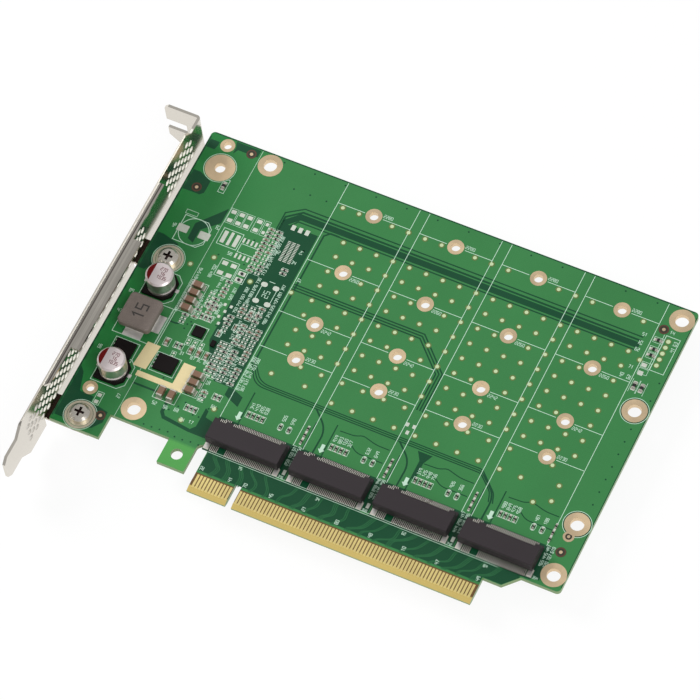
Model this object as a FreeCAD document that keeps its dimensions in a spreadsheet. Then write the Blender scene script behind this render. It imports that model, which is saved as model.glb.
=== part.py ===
"""Adapter card that carries four M.2 drives in one x16 slot, as a parametric FreeCAD document.

Frame: X runs along the card from the I/O bracket to the far end, Y runs up from the edge
connector to the top edge, and Z is normal to the component side.  The origin is the middle of
the connector's key notch, on the connector's lower edge and half way through the board.
All sizes are in millimetres.
"""
import FreeCAD, Part
import math
import os
import re

import Sketcher
from FreeCAD import Placement, Rotation, Vector

os.makedirs("parts", exist_ok=True)
doc = FreeCAD.newDocument("drive_adapter_card")

# ---------------------------------------------------------------- driving dimensions
SIZES = {
    # printed circuit board
    "board_thick": 1.57,
    "board_left": -57.5,
    "board_right": 93.3,
    "board_top": 106.0,
    "board_low": 12.5,
    "board_corner": 1.3,
    "block_right": -42.3,
    "block_low": 4.8,
    "hook_left": -24.1,
    "hook_right": -15.9,
    "hook_low": 4.6,
    "edge_left": -12.6,
    "edge_right": 72.6,
    "edge_shoulder": 8.3,
    "shoulder_out": 78.0,
    "shoulder_end": 82.0,
    "slot_top": 12.6,
    "key_width": 1.9,
    "key_top": 8.3,
    "bevel_rise": 1.3,
    "bevel_depth": 0.45,
    # holes in the board
    "drive_first": -3.05,
    "drive_pitch": 25.4,
    "drive_datum": 18.6,
    "drive_hole": 2.7,
    "cover_left": -37.3,
    "cover_right": 89.7,
    "cover_low": 16.7,
    "cover_high": 102.0,
    "cover_side": 89.2,
    "cover_side_low": 33.1,
    "cover_side_high": 71.0,
    "cover_hole": 4.0,
    "ear_centre": -50.1,
    "ear_low": 9.1,
    "ear_middle": 63.2,
    "ear_high": 95.7,
    "ear_hole": 3.2,
    "tooling_left": -51.4,
    "tooling_low": 17.8,
    "tooling_high": 103.2,
    "tooling_hole": 2.4,
    "hook_hole_across": -20.0,
    "hook_hole_up": 8.8,
    "hook_hole": 3.4,
    # edge contacts
    "finger_pitch": 1.0,
    "finger_width": 0.7,
    "finger_low": 1.4,
    "finger_high": 5.6,
    "finger_thick": 0.04,
    "finger_first": 1.1,
    "finger_short_row": 11,
    "finger_long_row": 71,
    # I/O bracket
    "sheet_thick": 0.86,
    "bracket_inside": -58.6,
    "bracket_low": -3.4,
    "bracket_width": 18.42,
    "bracket_top": 103.2,
    "bracket_height": 120.02,
    "tongue_width": 10.19,
    "tongue_length": 7.6,
    "tongue_tip": 1.8,
    "head_shift": 3.17,
    "head_start": 97.2,
    "tab_depth": 11.43,
    "notch_width": 4.42,
    "notch_depth": 6.35,
    "tab_corner": 1.2,
    "tab_cut": 3.4,
    "lip_start": 7.2,
    "lip_end": 77.4,
    "lip_narrow": 2.6,
    "lip_wide": 5.1,
    "lip_wide_start": 20.6,
    "lip_wide_end": 58.2,
    "lip_chamfer": 1.3,
    "bend_outside": 1.2,
    "bend_inside": 0.34,
    "ear_width": 8.2,
    "ear_reach": -45.9,
    "ear_relief": 0.8,
    "ear_tap": 2.6,
    "vent_pitch": 3.53,
    "vent_row": 1.6,
    "vent_across": 1.85,
    "vent_first": -3.4,
    "vent_gap_start": 66.6,
    "vent_gap_end": 79.6,
    "vent_last": 97.2,
    "vent_low": 2.5,
    "vent_rows": 6,
    # bracket screws
    "screw_head": 5.8,
    "screw_head_high": 1.9,
    "screw_dome": 0.7,
    "screw_shank": 2.6,
    "screw_recess": 2.9,
    "screw_recess_deep": 1.1,
    "screw_recess_wide": 0.75,
    # M.2 sockets
    "socket_width": 21.9,
    "socket_back": 15.0,
    "socket_deep": 7.9,
    "socket_high": 4.2,
    "socket_top_deep": 6.6,
    "socket_foot": 1.1,
    "socket_undercut": 0.9,
    "socket_shelf": 1.3,
    "socket_roof": 2.8,
    "socket_mouth": 4.0,
    "socket_wall": 1.35,
    "socket_chamfer": 0.25,
    "socket_key_at": 4.7,
    "socket_key_width": 1.25,
    "contact_pitch": 0.5,
    "contact_width": 0.22,
    "contact_thick": 0.15,
    "contact_places": 38,
    "contact_key_first": 5,
    "contact_key_count": 4,
    "tail_reach": 1.5,
    "anchor_width": 0.9,
    "anchor_reach": 1.2,
    "anchor_thick": 0.2,
    # polymer capacitors
    "can_across": -47.8,
    "can_one_up": 54.6,
    "can_two_up": 25.2,
    "can_size": 8.0,
    "can_high": 6.9,
    "can_base": 8.6,
    "can_base_high": 1.0,
    "can_base_cut": 2.0,
    "can_rim": 0.7,
    "can_crimp": 0.4,
    "can_waist": 0.25,
    "can_shoulder": 0.5,
    "can_lead_width": 1.1,
    "can_lead_reach": 1.0,
    "can_lead_thick": 0.3,
    # inductor
    "coil_across": -48.3,
    "coil_up": 43.15,
    "coil_wide": 10.0,
    "coil_deep": 10.3,
    "coil_high": 3.9,
    "coil_lift": 0.2,
    "coil_step": 1.9,
    "coil_inset": 0.9,
    "coil_corner": 1.3,
    "coil_edge": 0.4,
    "coil_lead_width": 5.6,
    "coil_lead_reach": 1.6,
    "coil_lead_thick": 0.25,
    "coil_lead_rise": 1.4,
    # packages
    "power_wide": 5.9,
    "power_deep": 5.0,
    "power_high": 1.05,
    "power_lead": 0.45,
    "power_lead_pitch": 1.27,
    "power_lead_count": 4,
    "power_lead_reach": 0.5,
    "power_lead_thick": 0.25,
    "power_one_across": -48.3,
    "power_one_up": 32.2,
    "power_two_across": -35.4,
    "power_two_up": 32.5,
    "driver_size": 3.1,
    "driver_high": 0.85,
    "driver_across": -31.5,
    "driver_up": 45.3,
    "sensor_wide": 1.2,
    "sensor_deep": 1.9,
    "sensor_high": 0.7,
    "sensor_across": -26.2,
    "sensor_up": 43.6,
    "ceramic_long": 3.2,
    "ceramic_wide": 1.7,
    "ceramic_high": 1.5,
    "chip_long": 1.0,
    "chip_wide": 0.5,
    "chip_high": 0.35,
    "big_chip_long": 1.6,
    "big_chip_wide": 0.8,
    "big_chip_high": 0.6,
    "socket_chip_up": 27.7,
    "socket_chip_across": -4.3,
    "socket_chip_pitch": 1.43,
    "socket_chip_count": 4,
    "single_chip_across": 5.5,
    "single_chip_pitch": 2.6,
    "side_chip_across": 12.75,
    "side_chip_last": 11.1,
    "side_chip_up": 26.0,
    "side_chip_pitch": 2.1,
    "side_chip_count": 3,
}
sheet = doc.addObject("Spreadsheet::Sheet", "Sizes")
for row, (alias, value) in enumerate(SIZES.items(), start=1):
    sheet.set("A%d" % row, alias)
    sheet.set("B%d" % row, str(value))
    sheet.setAlias("B%d" % row, alias)
doc.recompute()


def bound(formula):
    """Give the expression that reads each named size from the sheet."""
    return re.sub(r"[a-z][a-z_]*", lambda word: "Sizes." + word.group(0), str(formula))


def value(formula):
    """Work a formula of named sizes out as a number."""
    return float(sheet.evalExpression(bound(formula)))


# ---------------------------------------------------------------- building blocks
def new_body(label):
    """Start one piece, named after its file."""
    body = doc.addObject("PartDesign::Body", label)
    body.Label = label
    return body


def new_sketch(body, name, plane, height="0"):
    """Attach a sketch to one of the body's own origin planes, at a height above it."""
    sketch = body.newObject("Sketcher::SketchObject", name)
    origin = next(part for part in body.Origin.OriginFeatures if part.Role == plane)
    sketch.AttachmentSupport = [(origin, "")]
    sketch.MapMode = "FlatFace"
    sketch.setExpression("AttachmentOffset.Base.z", bound(height))
    return sketch


def place_point(sketch, curve, spot, across, up):
    """Bind one point of a sketch to two formulas."""
    for kind, formula in (("DistanceX", across), ("DistanceY", up)):
        index = sketch.addConstraint(Sketcher.Constraint(kind, -1, 1, curve, spot, value(formula)))
        sketch.setExpression("Constraints[%d]" % index, bound(formula))


def add_outline(sketch, points):
    """Draw a closed outline whose corners are bound to the sheet."""
    first = sketch.GeometryCount
    corners = [Vector(value(across), value(up), 0) for across, up in points]
    count = len(corners)
    for index in range(count):
        sketch.addGeometry(Part.LineSegment(corners[index], corners[(index + 1) % count]), False)
    for index, (across, up) in enumerate(points):
        after = first + (index + 1) % count
        sketch.addConstraint(Sketcher.Constraint("Coincident", first + index, 2, after, 1))
        place_point(sketch, first + index, 1, across, up)


def add_circle(sketch, across, up, diameter):
    """Draw one circle bound to the sheet."""
    centre = Vector(value(across), value(up), 0)
    radius = value(diameter) / 2
    curve = sketch.addGeometry(Part.Circle(centre, Vector(0, 0, 1), radius), False)
    index = sketch.addConstraint(Sketcher.Constraint("Diameter", curve, 2 * radius))
    sketch.setExpression("Constraints[%d]" % index, bound(diameter))
    place_point(sketch, curve, 3, across, up)


def rectangle(left, low, right, high):
    """Corners of an upright rectangle."""
    return [(left, low), (right, low), (right, high), (left, high)]


def pad(body, sketch, length, midplane=False, reverse=False):
    """Add the sketch's area to the body, as thick as the formula says."""
    feature = body.newObject("PartDesign::Pad", sketch.Name + "_pad")
    feature.Profile = sketch
    feature.setExpression("Length", bound(length))
    feature.Midplane = midplane
    feature.Reversed = reverse
    doc.recompute()
    return feature


def pocket(body, sketch, length, midplane=False, reverse=False):
    """Cut the sketch's area out of the body, and make sure that it cuts."""
    before = body.Shape.Volume
    feature = body.newObject("PartDesign::Pocket", sketch.Name + "_cut")
    feature.Profile = sketch
    feature.setExpression("Length", bound(length))
    feature.Midplane = midplane
    feature.Reversed = reverse
    doc.recompute()
    if body.Shape.Volume >= before - 1e-6:
        raise RuntimeError("the cut %s takes nothing away" % sketch.Name)
    return feature


def edges_where(shape, test):
    """Names of the edges whose middle and direction pass a test."""
    names = []
    for number, edge in enumerate(shape.Edges, start=1):
        middle = edge.valueAt((edge.FirstParameter + edge.LastParameter) / 2)
        ends = [vertex.Point for vertex in edge.Vertexes]
        along = (ends[-1] - ends[0]) if len(ends) > 1 else Vector()
        if test(middle, along):
            names.append("Edge%d" % number)
    return names


def dress(body, kind, test, sizes):
    """Round or bevel the edges that pass a test."""
    base = body.Tip
    names = edges_where(base.Shape, test)
    if not names:
        raise RuntimeError("no edge to work on in " + body.Label)
    feature = body.newObject("PartDesign::" + kind, "%s_%s" % (body.Name, kind.lower()))
    feature.Base = (base, names)
    for setting, amount in sizes.items():
        if isinstance(amount, str) and setting in ("Radius", "Size", "Size2"):
            feature.setExpression(setting, bound(amount))
        else:
            setattr(feature, setting, amount)
    doc.recompute()
    return feature


def near(number, goal):
    """Whether two lengths are the same for picking edges."""
    return abs(number - goal) < 0.02


def block(label, across, up, low, wide, deep, high):
    """A plain rectangular piece centred on a point of the board."""
    box = doc.addObject("Part::Box", label)
    box.Label = label
    box.setExpression("Length", bound(wide))
    box.setExpression("Width", bound(deep))
    box.setExpression("Height", bound(high))
    box.setExpression("Placement.Base.x", bound("(%s) - (%s) / 2" % (across, wide)))
    box.setExpression("Placement.Base.y", bound("(%s) - (%s) / 2" % (up, deep)))
    box.setExpression("Placement.Base.z", bound(low))
    return box


def solid_group(label, shapes):
    """One node that holds several separate solids of the same kind."""
    feature = doc.addObject("Part::Feature", label)
    feature.Label = label
    feature.Shape = Part.makeCompound(shapes)
    feature.Placement = Placement(Vector(0, 0, 0), Rotation())
    return feature


def make_box(across, up, low, wide, deep, high):
    """A box centred across and up, standing on a height."""
    return Part.makeBox(wide, deep, high, Vector(across - wide / 2, up - deep / 2, low))


BOARD_TOP = "board_thick / 2"
DRIVE_ROWS = (30, 42, 60, 80)
nodes = []


# ---------------------------------------------------------------- circuit board
def build_board():
    """The bare board: outline, key notch, holes and the bevel on its connector edge."""
    body = new_body("circuit_board")
    outline = new_sketch(body, "board_outline", "XY_Plane")
    add_outline(outline, [
        ("board_left", "block_low"), ("block_right", "block_low"), ("block_right", "board_low"),
        ("hook_left", "board_low"), ("hook_left", "hook_low"), ("hook_right", "hook_low"),
        ("hook_right", "slot_top"), ("edge_left", "slot_top"), ("edge_left", "0"),
        ("edge_right", "0"), ("edge_right", "edge_shoulder"), ("shoulder_out", "edge_shoulder"),
        ("shoulder_end", "board_low"), ("board_right", "board_low"), ("board_right", "board_top"),
        ("board_left", "board_top")])
    pad(body, outline, "board_thick", midplane=True)

    key = new_sketch(body, "key_notch", "XY_Plane")
    low, top = "0 - key_width", "key_top - key_width / 2"
    add_outline(key, rectangle("0 - key_width / 2", low, "key_width / 2", top))
    pocket(body, key, "board_thick * 2", midplane=True)
    key_end = new_sketch(body, "key_notch_end", "XY_Plane")
    add_circle(key_end, "0", top, "key_width")
    pocket(body, key_end, "board_thick * 2", midplane=True)

    slot_end = new_sketch(body, "slot_end", "XY_Plane")
    width = "(edge_left - hook_right)"
    add_circle(slot_end, "(edge_left + hook_right) / 2", "slot_top", width)
    pocket(body, slot_end, "board_thick * 2", midplane=True)

    holes = new_sketch(body, "holes", "XY_Plane")
    for column in range(4):
        for drive_row in DRIVE_ROWS:
            across = "drive_first + %d * drive_pitch" % column
            add_circle(holes, across, "drive_datum + %d" % drive_row, "drive_hole")
    for across in ("cover_left", "cover_right"):
        for up in ("cover_low", "cover_high"):
            add_circle(holes, across, up, "cover_hole")
    for up in ("cover_side_low", "cover_side_high"):
        add_circle(holes, "cover_side", up, "cover_hole")
    for up in ("ear_low", "ear_middle", "ear_high"):
        add_circle(holes, "ear_centre", up, "ear_hole")
    for up in ("tooling_low", "tooling_high"):
        add_circle(holes, "tooling_left", up, "tooling_hole")
    add_circle(holes, "hook_hole_across", "hook_hole_up", "hook_hole")
    pocket(body, holes, "board_thick * 2", midplane=True)

    right, top_edge, low_edge = value("board_right"), value("board_top"), value("board_low")
    left = value("board_left")

    def is_corner(middle, along):
        upright = abs(along.z) > 1
        outer = near(middle.x, right) and (near(middle.y, top_edge) or near(middle.y, low_edge))
        return upright and (outer or (near(middle.x, left) and near(middle.y, top_edge)))

    dress(body, "Fillet", is_corner, {"Radius": "board_corner"})

    bevels = new_sketch(body, "edge_bevels", "YZ_Plane")
    for sign in ("", "0 - "):
        face = sign + "(board_thick / 2)"
        sunk = sign + "(board_thick / 2 - bevel_depth)"
        add_outline(bevels, [("0 - bevel_rise", sunk), ("0", sunk), ("bevel_rise", face),
                             ("0 - bevel_rise", face)])
    pocket(body, bevels, "board_right * 2", midplane=True)
    return body


# ---------------------------------------------------------------- edge contacts
def finger_places():
    """Middles of the 82 contacts: 11 short of the key notch and 71 past it."""
    first = value("edge_left + finger_first")
    pitch = value("finger_pitch")
    short_row, long_row = int(value("finger_short_row")), int(value("finger_long_row"))
    past_key = value("edge_right") - value("finger_first") - (long_row - 1) * pitch
    return ([first + pitch * n for n in range(short_row)]
            + [past_key + pitch * n for n in range(long_row)])


def build_edge_contacts():
    """Gold contacts of the x16 connector, one node for each side of the board."""
    low, high = value("finger_low"), value("finger_high")
    thick, half = value("finger_thick"), value("board_thick") / 2
    for label, bottom in (("edge_contacts_component_side", half),
                          ("edge_contacts_solder_side", -half - thick)):
        contacts = [make_box(across, (low + high) / 2, bottom, value("finger_width"), high - low, thick)
                    for across in finger_places()]
        nodes.append(solid_group(label, contacts))


# ---------------------------------------------------------------- I/O bracket
def vent_places():
    """Middles of the hexagonal vents, in rows that are staggered by half a pitch."""
    pitch = value("vent_pitch")
    places = []
    for number in range(int(value("vent_rows"))):
        height = value("vent_low") + number * value("vent_row")
        up = value("vent_first") + (number % 2) * pitch / 2
        while up < value("vent_last"):
            if up < value("vent_gap_start") or up > value("vent_gap_end"):
                places.append((up, height))
            up += pitch
    return places


def build_bracket():
    """Sheet-metal bracket: vented plate, tongue, head with its screw tab, stiffening lip, ears."""
    body = new_body("io_bracket")
    outside = "(bracket_inside - sheet_thick)"
    top = "(bracket_low + bracket_width)"
    tip = "(bracket_top - bracket_height)"
    side = "((bracket_width - tongue_width) / 2)"
    tongue = "(%s + tongue_length)" % tip
    plate = new_sketch(body, "plate", "YZ_Plane", outside)
    add_outline(plate, [
        (tip, "bracket_low + %s + tongue_tip" % side),
        ("%s + tongue_tip" % tip, "bracket_low + " + side),
        (tongue, "bracket_low + " + side),
        ("%s + %s" % (tongue, side), "bracket_low"),
        ("head_start", "bracket_low"),
        ("head_start", "bracket_low - head_shift"),
        ("bracket_top", "bracket_low - head_shift"),
        ("bracket_top", "%s - head_shift" % top),
        ("head_start", "%s - head_shift" % top),
        ("head_start - head_shift", top),
        ("%s + %s" % (tongue, side), top),
        (tongue, "%s - %s" % (top, side)),
        ("%s + tongue_tip" % tip, "%s - %s" % (top, side)),
        (tip, "%s - %s - tongue_tip" % (top, side))])
    pad(body, plate, "sheet_thick")

    tab = new_sketch(body, "screw_tab", "XZ_Plane", "0 - bracket_top")
    end = "(%s + sheet_thick - tab_depth)" % outside
    tab_low, tab_high = "(bracket_low - head_shift)", "(%s - head_shift)" % top
    middle = "((%s + %s) / 2)" % (tab_low, tab_high)
    add_outline(tab, [
        ("bracket_inside", tab_low), ("bracket_inside", tab_high),
        ("%s + tab_corner" % end, tab_high), (end, "%s - tab_corner" % tab_high),
        (end, "%s + notch_width / 2" % middle),
        ("%s + notch_depth" % end, "%s + notch_width / 2" % middle),
        ("%s + notch_depth" % end, "%s - notch_width / 2" % middle),
        (end, "%s - notch_width / 2" % middle),
        (end, "%s + tab_cut" % tab_low), ("%s + tab_cut" % end, tab_low)])
    pad(body, tab, "sheet_thick")

    lip = new_sketch(body, "lip", "XY_Plane", top)
    narrow, wide = "(%s + lip_narrow)" % outside, "(%s + lip_wide)" % outside
    add_outline(lip, [
        (outside, "lip_start"), ("%s - lip_chamfer" % narrow, "lip_start"),
        (narrow, "lip_start + lip_chamfer"), (narrow, "lip_wide_start"),
        (wide, "lip_wide_start"), (wide, "lip_wide_end"), (narrow, "lip_wide_end"),
        (narrow, "lip_end"), (outside, "lip_end")])
    pad(body, lip, "sheet_thick", reverse=True)

    ears = new_sketch(body, "ears", "XY_Plane", "0 - board_thick / 2")
    for up in ("ear_low", "ear_middle"):
        low, high = "%s - ear_width / 2" % up, "%s + ear_width / 2" % up
        add_outline(ears, rectangle(outside, low, "ear_reach", high))
    pad(body, ears, "sheet_thick", reverse=True)

    relief = new_sketch(body, "ear_reliefs", "YZ_Plane", outside)
    under = "0 - board_thick / 2 - sheet_thick"
    for up in ("ear_low", "ear_middle"):
        low, high = "%s - ear_width / 2" % up, "%s + ear_width / 2" % up
        add_outline(relief, rectangle(low, "bracket_low - 1", high, under))
    pocket(body, relief, "sheet_thick * 2", reverse=True)

    slits = new_sketch(body, "ear_slits", "YZ_Plane", outside)
    for up in ("ear_low", "ear_middle"):
        for edge in ("- ear_width / 2 - ear_relief", "+ ear_width / 2"):
            left = "%s %s" % (up, edge)
            add_outline(slits, rectangle(left, "bracket_low - 1", left + " + ear_relief", "0"))
    pocket(body, slits, "sheet_thick * 2", reverse=True)

    taps = new_sketch(body, "ear_taps", "XY_Plane", "0 - board_thick / 2")
    for up in ("ear_low", "ear_middle"):
        add_circle(taps, "ear_centre", up, "ear_tap")
    pocket(body, taps, "sheet_thick * 2")

    vents = new_sketch(body, "vents", "YZ_Plane", outside)
    radius = value("vent_across") / math.sqrt(3)
    sides = []
    for up, height in vent_places():
        corners = [Vector(up + radius * math.cos(math.radians(60 * n)),
                          height + radius * math.sin(math.radians(60 * n)), 0) for n in range(6)]
        sides += [Part.LineSegment(corners[n], corners[(n + 1) % 6]) for n in range(6)]
    vents.addGeometry(sides, False)
    pocket(body, vents, "sheet_thick * 2", reverse=True)

    inside, outer = value("bracket_inside"), value(outside)
    top_z, top_y = value(top), value("bracket_top")
    thick = value("sheet_thick")
    dress(body, "Fillet", lambda middle, along: (near(middle.x, inside) and near(middle.y, top_y)
                                                 and abs(along.z) > 5), {"Radius": "bend_outside"})
    dress(body, "Fillet", lambda middle, along: (near(middle.x, outer) and near(middle.z, top_z)
                                                 and value("lip_start") < middle.y < value("lip_end")
                                                 and abs(along.y) > 5), {"Radius": "bend_outside"})
    dress(body, "Fillet", lambda middle, along: (near(middle.x, outer) and abs(along.z) > 5
                                                 and near(middle.y, top_y - thick)),
          {"Radius": "bend_inside"})
    return body


# ---------------------------------------------------------------- bracket screws
def build_screw(label, up):
    """Pan-head screw with a cross recess, through the board into one bracket ear."""
    body = new_body(label)
    outline = new_sketch(body, label + "_side", "XZ_Plane")
    high = "(board_thick / 2 + screw_head_high)"
    low = "(0 - board_thick / 2 - sheet_thick)"
    add_outline(outline, [
        ("0", low), ("screw_shank / 2", low), ("screw_shank / 2", BOARD_TOP),
        ("screw_head / 2", BOARD_TOP), ("screw_head / 2", "%s - screw_dome" % high),
        ("screw_head / 2 - screw_dome", high), ("0", high)])
    turn = body.newObject("PartDesign::Revolution", label + "_turn")
    turn.Profile = outline
    turn.ReferenceAxis = (outline, ["V_Axis"])
    turn.Angle = 360
    doc.recompute()
    cross = new_sketch(body, label + "_cross", "XY_Plane", high)
    add_outline(cross, rectangle("0 - screw_recess / 2", "0 - screw_recess_wide / 2",
                                 "screw_recess / 2", "screw_recess_wide / 2"))
    pocket(body, cross, "screw_recess_deep")
    second = new_sketch(body, label + "_cross_two", "XY_Plane", high)
    add_outline(second, rectangle("0 - screw_recess_wide / 2", "0 - screw_recess / 2",
                                  "screw_recess_wide / 2", "screw_recess / 2"))
    pocket(body, second, "screw_recess_deep")
    body.setExpression("Placement.Base.x", bound("ear_centre"))
    body.setExpression("Placement.Base.y", bound(up))
    return body


# ---------------------------------------------------------------- M.2 sockets
def build_socket(number):
    """Moulded housing of one M-key socket: slot with a key rib, and a shelf longer than its roof."""
    body = new_body("m2_socket_%d" % number)
    profile = new_sketch(body, body.Name + "_side", "YZ_Plane")
    cut = "socket_chamfer"
    add_outline(profile, [
        ("socket_foot", "0"), ("socket_deep", "0"), ("socket_deep", "socket_shelf"),
        ("socket_top_deep", "socket_shelf"), ("socket_top_deep", "socket_high - " + cut),
        ("socket_top_deep - " + cut, "socket_high"), (cut, "socket_high"),
        ("0", "socket_high - " + cut), ("0", "socket_undercut"),
        ("socket_foot", "socket_undercut")])
    pad(body, profile, "socket_width", midplane=True)

    left = "(0 - socket_width / 2 + socket_wall)"
    right = "(socket_width / 2 - socket_wall)"
    key = "(0 - socket_width / 2 + socket_key_at)"
    for name, start, end in (("short", left, key + " - socket_key_width / 2"),
                             ("long", key + " + socket_key_width / 2", right)):
        mouth = new_sketch(body, "%s_%s_mouth" % (body.Name, name), "XZ_Plane", "0 - socket_deep")
        add_outline(mouth, rectangle(start, "socket_shelf", end, "socket_roof"))
        pocket(body, mouth, "socket_mouth", reverse=True)
    body.setExpression("Placement.Base.x", bound("drive_first + %d * drive_pitch" % (number - 1)))
    body.setExpression("Placement.Base.y", bound("socket_back"))
    body.setExpression("Placement.Base.z", bound(BOARD_TOP))
    return body


def build_socket_metal(number):
    """The contact tails of one socket, and the two soldered anchors at its back corners."""
    middle = value("drive_first + %d * drive_pitch" % (number - 1))
    back, top = value("socket_back"), value(BOARD_TOP)
    pitch, wide, thick = value("contact_pitch"), value("contact_width"), value("contact_thick")
    tail_start, tail_end = back - value("tail_reach"), back + value("socket_foot")
    places, key_first = int(value("contact_places")), int(value("contact_key_first"))
    key_end = key_first + int(value("contact_key_count"))
    contacts = []
    for place in range(places):
        if key_first <= place < key_end:
            continue
        across = middle + (place - (places - 1) / 2) * pitch
        contacts.append(make_box(across, (tail_start + tail_end) / 2, top, wide,
                                 tail_end - tail_start, thick))
    nodes.append(solid_group("m2_contacts_%d" % number, contacts))

    spread = value("socket_width - anchor_width") / 2
    deep = value("anchor_reach + socket_foot")
    anchors = [make_box(middle + sign * spread, back + value("socket_foot") - deep / 2, top,
                        value("anchor_width"), deep, value("anchor_thick")) for sign in (-1, 1)]
    nodes.append(solid_group("m2_anchors_%d" % number, anchors))


# ---------------------------------------------------------------- capacitors
def build_capacitor(number, up):
    """Surface-mount polymer can: moulded base with two cut corners, crimped can, two leads."""
    half = "can_base / 2"
    base = new_body("capacitor_base_%d" % number)
    outline = new_sketch(base, base.Name + "_outline", "XY_Plane")
    add_outline(outline, [
        ("0 - " + half, "0 - " + half), ("%s - can_base_cut" % half, "0 - " + half),
        (half, "can_base_cut - " + half), (half, "%s - can_base_cut" % half),
        ("%s - can_base_cut" % half, half), ("0 - " + half, half)])
    pad(base, outline, "can_base_high")

    can = new_body("capacitor_can_%d" % number)
    side = new_sketch(can, can.Name + "_side", "XZ_Plane")
    low, high = "can_base_high", "can_high"
    add_outline(side, [
        ("0", low), ("can_size / 2", low), ("can_size / 2", low + " + can_rim"),
        ("can_size / 2 - can_waist", low + " + can_rim + can_crimp"),
        ("can_size / 2", low + " + can_rim + can_crimp * 2"),
        ("can_size / 2", high + " - can_shoulder"), ("can_size / 2 - can_shoulder", high),
        ("0", high)])
    turn = can.newObject("PartDesign::Revolution", can.Name + "_turn")
    turn.Profile = side
    turn.ReferenceAxis = (side, ["V_Axis"])
    turn.Angle = 360
    doc.recompute()

    for body in (base, can):
        body.setExpression("Placement.Base.x", bound("can_across"))
        body.setExpression("Placement.Base.y", bound(up))
        body.setExpression("Placement.Base.z", bound(BOARD_TOP))
        nodes.append(body)
    reach = value("can_lead_reach")
    spread = value("can_base + can_lead_reach") / 2
    leads = [make_box(value("can_across") + sign * spread, value(up), value(BOARD_TOP), reach,
                      value("can_lead_width"), value("can_lead_thick")) for sign in (-1, 1)]
    nodes.append(solid_group("capacitor_leads_%d" % number, leads))


# ---------------------------------------------------------------- inductor
def build_inductor():
    """Pressed powder core that overhangs its foot, and its two flat terminals."""
    body = new_body("inductor_core")
    foot_wide, foot_deep = "(coil_wide / 2 - coil_inset)", "(coil_deep / 2 - coil_inset)"
    foot = new_sketch(body, "core_foot", "XY_Plane", "coil_lift")
    add_outline(foot, rectangle("0 - " + foot_wide, "0 - " + foot_deep, foot_wide, foot_deep))
    pad(body, foot, "coil_step")
    outline = new_sketch(body, "core_outline", "XY_Plane", "coil_lift + coil_step")
    add_outline(outline, rectangle("0 - coil_wide / 2", "0 - coil_deep / 2", "coil_wide / 2",
                                   "coil_deep / 2"))
    pad(body, outline, "coil_high - coil_step")
    dress(body, "Fillet", lambda middle, along: abs(along.z) > 1, {"Radius": "coil_corner"})
    high = value("coil_lift + coil_high")
    dress(body, "Chamfer", lambda middle, along: near(middle.z, high), {"Size": "coil_edge"})
    body.setExpression("Placement.Base.x", bound("coil_across"))
    body.setExpression("Placement.Base.y", bound("coil_up"))
    body.setExpression("Placement.Base.z", bound(BOARD_TOP))
    nodes.append(body)

    thick, wide, rise = value("coil_lead_thick"), value("coil_lead_width"), value("coil_lead_rise")
    top, long = value(BOARD_TOP), value("coil_lead_reach + coil_inset")
    across, up = value("coil_across"), value("coil_up")
    low_face = up - value("coil_deep / 2 - coil_inset")
    foot = make_box(across, low_face - long / 2, top, wide, long, thick)
    riser = make_box(across, low_face - thick / 2, top + thick, wide, thick, rise)
    right_face = across + value("coil_wide / 2 - coil_inset")
    side_foot = make_box(right_face + long / 2, up, top, long, wide, thick)
    side_riser = make_box(right_face + thick / 2, up, top + thick, thick, wide, rise)
    nodes.append(solid_group("inductor_terminals", [foot.fuse(riser).removeSplitter(),
                                                    side_foot.fuse(side_riser).removeSplitter()]))


# ---------------------------------------------------------------- chips
def build_power_transistor(number, across, up):
    """Flat power package with four short leads on its left edge."""
    body = block("power_transistor_%d" % number, across, up, BOARD_TOP,
                 "power_wide", "power_deep", "power_high")
    nodes.append(body)
    reach = value("power_lead_reach")
    left = value(across) - value("power_wide") / 2 - reach / 2
    pitch, count = value("power_lead_pitch"), int(value("power_lead_count"))
    leads = [make_box(left, value(up) + (n - (count - 1) / 2) * pitch, value(BOARD_TOP), reach,
                      value("power_lead"), value("power_lead_thick")) for n in range(count)]
    nodes.append(solid_group("power_transistor_leads_%d" % number, leads))


CERAMICS = {
    "ceramic_capacitor_01": (-38.3, 58.6, False),
    "ceramic_capacitor_02": (-38.3, 56.0, False),
    "ceramic_capacitor_03": (-38.3, 53.4, False),
    "ceramic_capacitor_04": (-38.3, 50.8, False),
    "ceramic_capacitor_05": (-25.6, 32.8, False),
    "ceramic_capacitor_06": (-25.6, 30.3, False),
    "ceramic_capacitor_07": (-25.6, 27.7, False),
    "ceramic_capacitor_08": (-32.5, 24.2, True),
    "ceramic_capacitor_09": (-29.4, 24.2, True),
}


def build_ceramics():
    """Multilayer capacitors, lying across the card or turned a quarter."""
    for label, (across, up, turned) in CERAMICS.items():
        sizes = ("ceramic_wide", "ceramic_long") if turned else ("ceramic_long", "ceramic_wide")
        nodes.append(block(label, str(across), str(up), BOARD_TOP, sizes[0], sizes[1],
                           "ceramic_high"))


# ---------------------------------------------------------------- small chip parts
def make_chip(across, up, size="chip"):
    """A small chip part with its long side up the card."""
    wide, deep, high = (value("%s_%s" % (size, way)) for way in ("wide", "long", "high"))
    return make_box(across, up, value(BOARD_TOP), wide, deep, high)


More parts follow.
